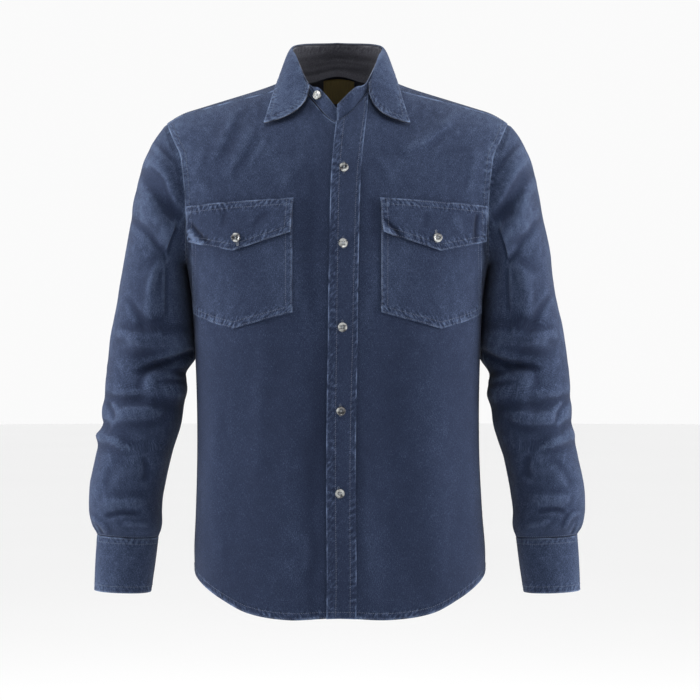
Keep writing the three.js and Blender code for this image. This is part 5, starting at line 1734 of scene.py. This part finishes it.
@dataclass
class Buttons:
    """Turned shell buttons with a raised rim and four holes, sewn on with crossed thread."""

    nodes: dict[str, bpy.types.Object]
    radius: float = 6.2
    thick: float = 2.5
    rim: float = 1.3
    slope: float = 1.0
    dish: float = 0.8
    rounding: float = 0.45
    hole: float = 0.75
    hole_off: float = 1.45
    flat_within: float = 2e-5

    def turned(self, name: str) -> bpy.types.Object:
        """Turns one button, flat on the origin, its face towards +Z.

        Args:
            name: Name of the piece.

        Returns:
            The new object, in metres.
        """
        obj = turned_slab(name, 40, self.radius * MM, self.thick * MM, self.thick * MM / 2)
        bpy.ops.object.mode_set(mode="EDIT")
        bpy.ops.mesh.select_mode(type="FACE")
        bpy.ops.mesh.select_all(action="DESELECT")
        bpy.ops.object.mode_set(mode="OBJECT")
        for polygon in obj.data.polygons:
            polygon.select = polygon.normal.z > 0.9
        bpy.ops.object.mode_set(mode="EDIT")
        bpy.ops.mesh.inset(thickness=self.rim * MM, depth=0)
        bpy.ops.mesh.inset(thickness=self.slope * MM, depth=-self.dish * MM)
        bpy.ops.object.mode_set(mode="OBJECT")
        round_edges(obj, self.rounding * MM, 3)
        for x in (-1, 1):
            for y in (-1, 1):
                self.drill(obj, x * self.hole_off * MM, y * self.hole_off * MM)
        return obj

    def drill(self, obj: bpy.types.Object, x: float, y: float) -> None:
        """Drills one thread hole through a button."""
        bpy.ops.object.select_all(action="DESELECT")
        place = (x, y, 0)
        bpy.ops.mesh.primitive_cylinder_add(vertices=12, radius=self.hole * MM, depth=0.02, location=place)
        drill = bpy.context.object
        cut = obj.modifiers.new("thread hole", "BOOLEAN")
        cut.object = drill
        cut.operation = "DIFFERENCE"
        bpy.context.view_layer.objects.active = obj
        bpy.ops.object.modifier_apply(modifier=cut.name)
        bpy.data.objects.remove(drill)

    def build(self) -> None:
        """Copies the button to each of its places, which are those of the solids that it stands for."""
        pattern = self.turned("button_pattern")
        verts = np.array([v.co for v in pattern.data.vertices])
        for name in sorted(node for node in self.nodes if node.startswith("button_")):
            centre, out = self.seat(name)
            across = unit(np.cross(np.array([0.0, 0.0, 1.0]), out))
            axes = np.stack([across, np.cross(out, across), out], axis=0)
            obj = pattern.copy()
            obj.data = pattern.data.copy()
            obj.name = f"shell_{name}"
            bpy.context.scene.collection.objects.link(obj)
            obj.data.vertices.foreach_set("co", (verts @ axes + centre).ravel())
            obj.data.update()
            smooth(obj, 40)
            belong(obj, SHELL)
            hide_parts(name)
            self.sew(name, centre, axes)
        bpy.data.objects.remove(pattern)
        LOG.info("buttons placed")

    def seat(self, name: str) -> tuple[Array, Array]:
        """Middle of a button's underside and its outward direction, from its solid."""
        verts = np.array([v.co for v in self.nodes[name].data.vertices])
        centred = verts - verts.mean(axis=0)
        normal = np.linalg.svd(centred, full_matrices=False)[2][2]
        reach = centred @ normal
        flat = []
        for end in (reach.min(), reach.max()):
            face = centred[np.abs(reach - end) < self.flat_within] - normal * end
            flat.append(np.linalg.norm(face, axis=1).max(initial=0))
        if flat[0] < flat[1]:
            normal = -normal
        centre = (verts.min(axis=0) + verts.max(axis=0)) / 2
        return centre + normal * ((verts - centre) @ normal).min(), normal

    def sew(self, name: str, centre: Array, axes: Array) -> None:
        """Crosses thread over a button's middle."""
        stitches = Stitches(f"thread_{name}", PALE_THREAD, length=self.hole_off * 2.9, radius=0.4)
        for turn in (45, 135):
            run = axes[0] * math.cos(math.radians(turn)) + axes[1] * math.sin(math.radians(turn))
            stitches.bar(centre / MM + axes[2] * (self.thick - self.dish + 0.15), run, axes[2])
        stitches.build()


@dataclass
class Studio:
    """Pale floor, soft lights and the camera."""

    floor_z: float = -1.5
    floor_radius: float = 30
    floor_thick: float = 0.1
    room_tone: float = 0.96
    aim: tuple[float, float, float] = (0, 0, -0.35)
    side_light: tuple[float, float, float] = (2.2, -0.3, 0.15)
    top_light: tuple[float, float, float] = (-0.1, -1.0, 2.0)
    brighter_towards: tuple[float, float, float] = (0, 0.6, 0.8)
    camera_place: tuple[float, float, float] = (0.0178, -3.0, -0.372)
    lens: float = 110.2

    def light(self, name: str, place: tuple[float, float, float], size: float, power_w: float) -> None:
        """Adds a square soft light that faces the shirt.

        Args:
            name: Name of the light.
            place: Where it stands.
            size: Length of its sides.
            power_w: Its power in watts.
        """
        data = bpy.data.lights.new(name, "AREA")
        data.size = size
        data.energy = power_w
        obj = bpy.data.objects.new(name, data)
        bpy.context.scene.collection.objects.link(obj)
        obj.location = place
        obj.rotation_euler = (Vector(self.aim) - Vector(place)).to_track_quat("-Z", "Y").to_euler()

    def floor(self) -> None:
        """Lays the floor: a wide round slab with a soft rim."""
        middle = self.floor_z - self.floor_thick / 2
        slab = turned_slab("floor", 96, self.floor_radius, self.floor_thick, middle)
        round_edges(slab, 0.03, 2)
        slab.data.materials.append(PAINT.material())

    def room(self) -> None:
        """Lights the room evenly, but dimmer from the front, where nothing pale stands."""
        world = bpy.data.worlds.new("pale room")
        world.use_nodes = True
        nodes = Nodes(world.node_tree)
        way = nodes.add("ShaderNodeTexCoord").outputs["Generated"]
        turned = {0: way, 1: self.brighter_towards}
        back = nodes.add("ShaderNodeVectorMath", turned, operation="DOT_PRODUCT").outputs["Value"]
        levels = {"From Min": -0.4, "From Max": 0.95, "To Min": 0.05, "To Max": 1.3}
        light = nodes.add("ShaderNodeMapRange", {"Value": back, **levels}).outputs[0]
        seen = nodes.add("ShaderNodeLightPath").outputs["Is Camera Ray"]
        strength = nodes.add("ShaderNodeMix", {0: seen, 2: light, 3: self.room_tone}).outputs[0]
        nodes.feed(world.node_tree.nodes["Background"], {0: (1, 1, 1, 1), 1: strength})
        bpy.context.scene.world = world

    def build(self) -> None:
        """Sets the studio up."""
        self.floor()
        self.room()
        x, y, z = self.side_light
        self.light("left softbox", (-x, y, z), 1.1, 78)
        self.light("right softbox", (x, y, z), 1.1, 78)
        self.light("top softbox", self.top_light, 1.0, 34)
        bpy.context.scene.view_settings.view_transform = "Standard"
        data = bpy.data.cameras.new("camera")
        data.lens = self.lens
        data.sensor_width = 36
        camera = bpy.data.objects.new("camera", data)
        camera.location = self.camera_place
        camera.rotation_euler = (math.pi / 2, 0, 0)
        bpy.context.scene.collection.objects.link(camera)
        bpy.context.scene.camera = camera


def main() -> None:
    """Builds the shirt in order."""
    logging.basicConfig(level=logging.INFO, format="%(name)s: %(message)s")
    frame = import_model()
    Studio().build()
    body = Body()
    body.build()
    Pockets().build()
    Sleeves().build()
    Cuffs().build()
    Collar().build(body)
    Label().build()
    Buttons(frame["nodes"]).build()


if __name__ == "__main__":
    main()
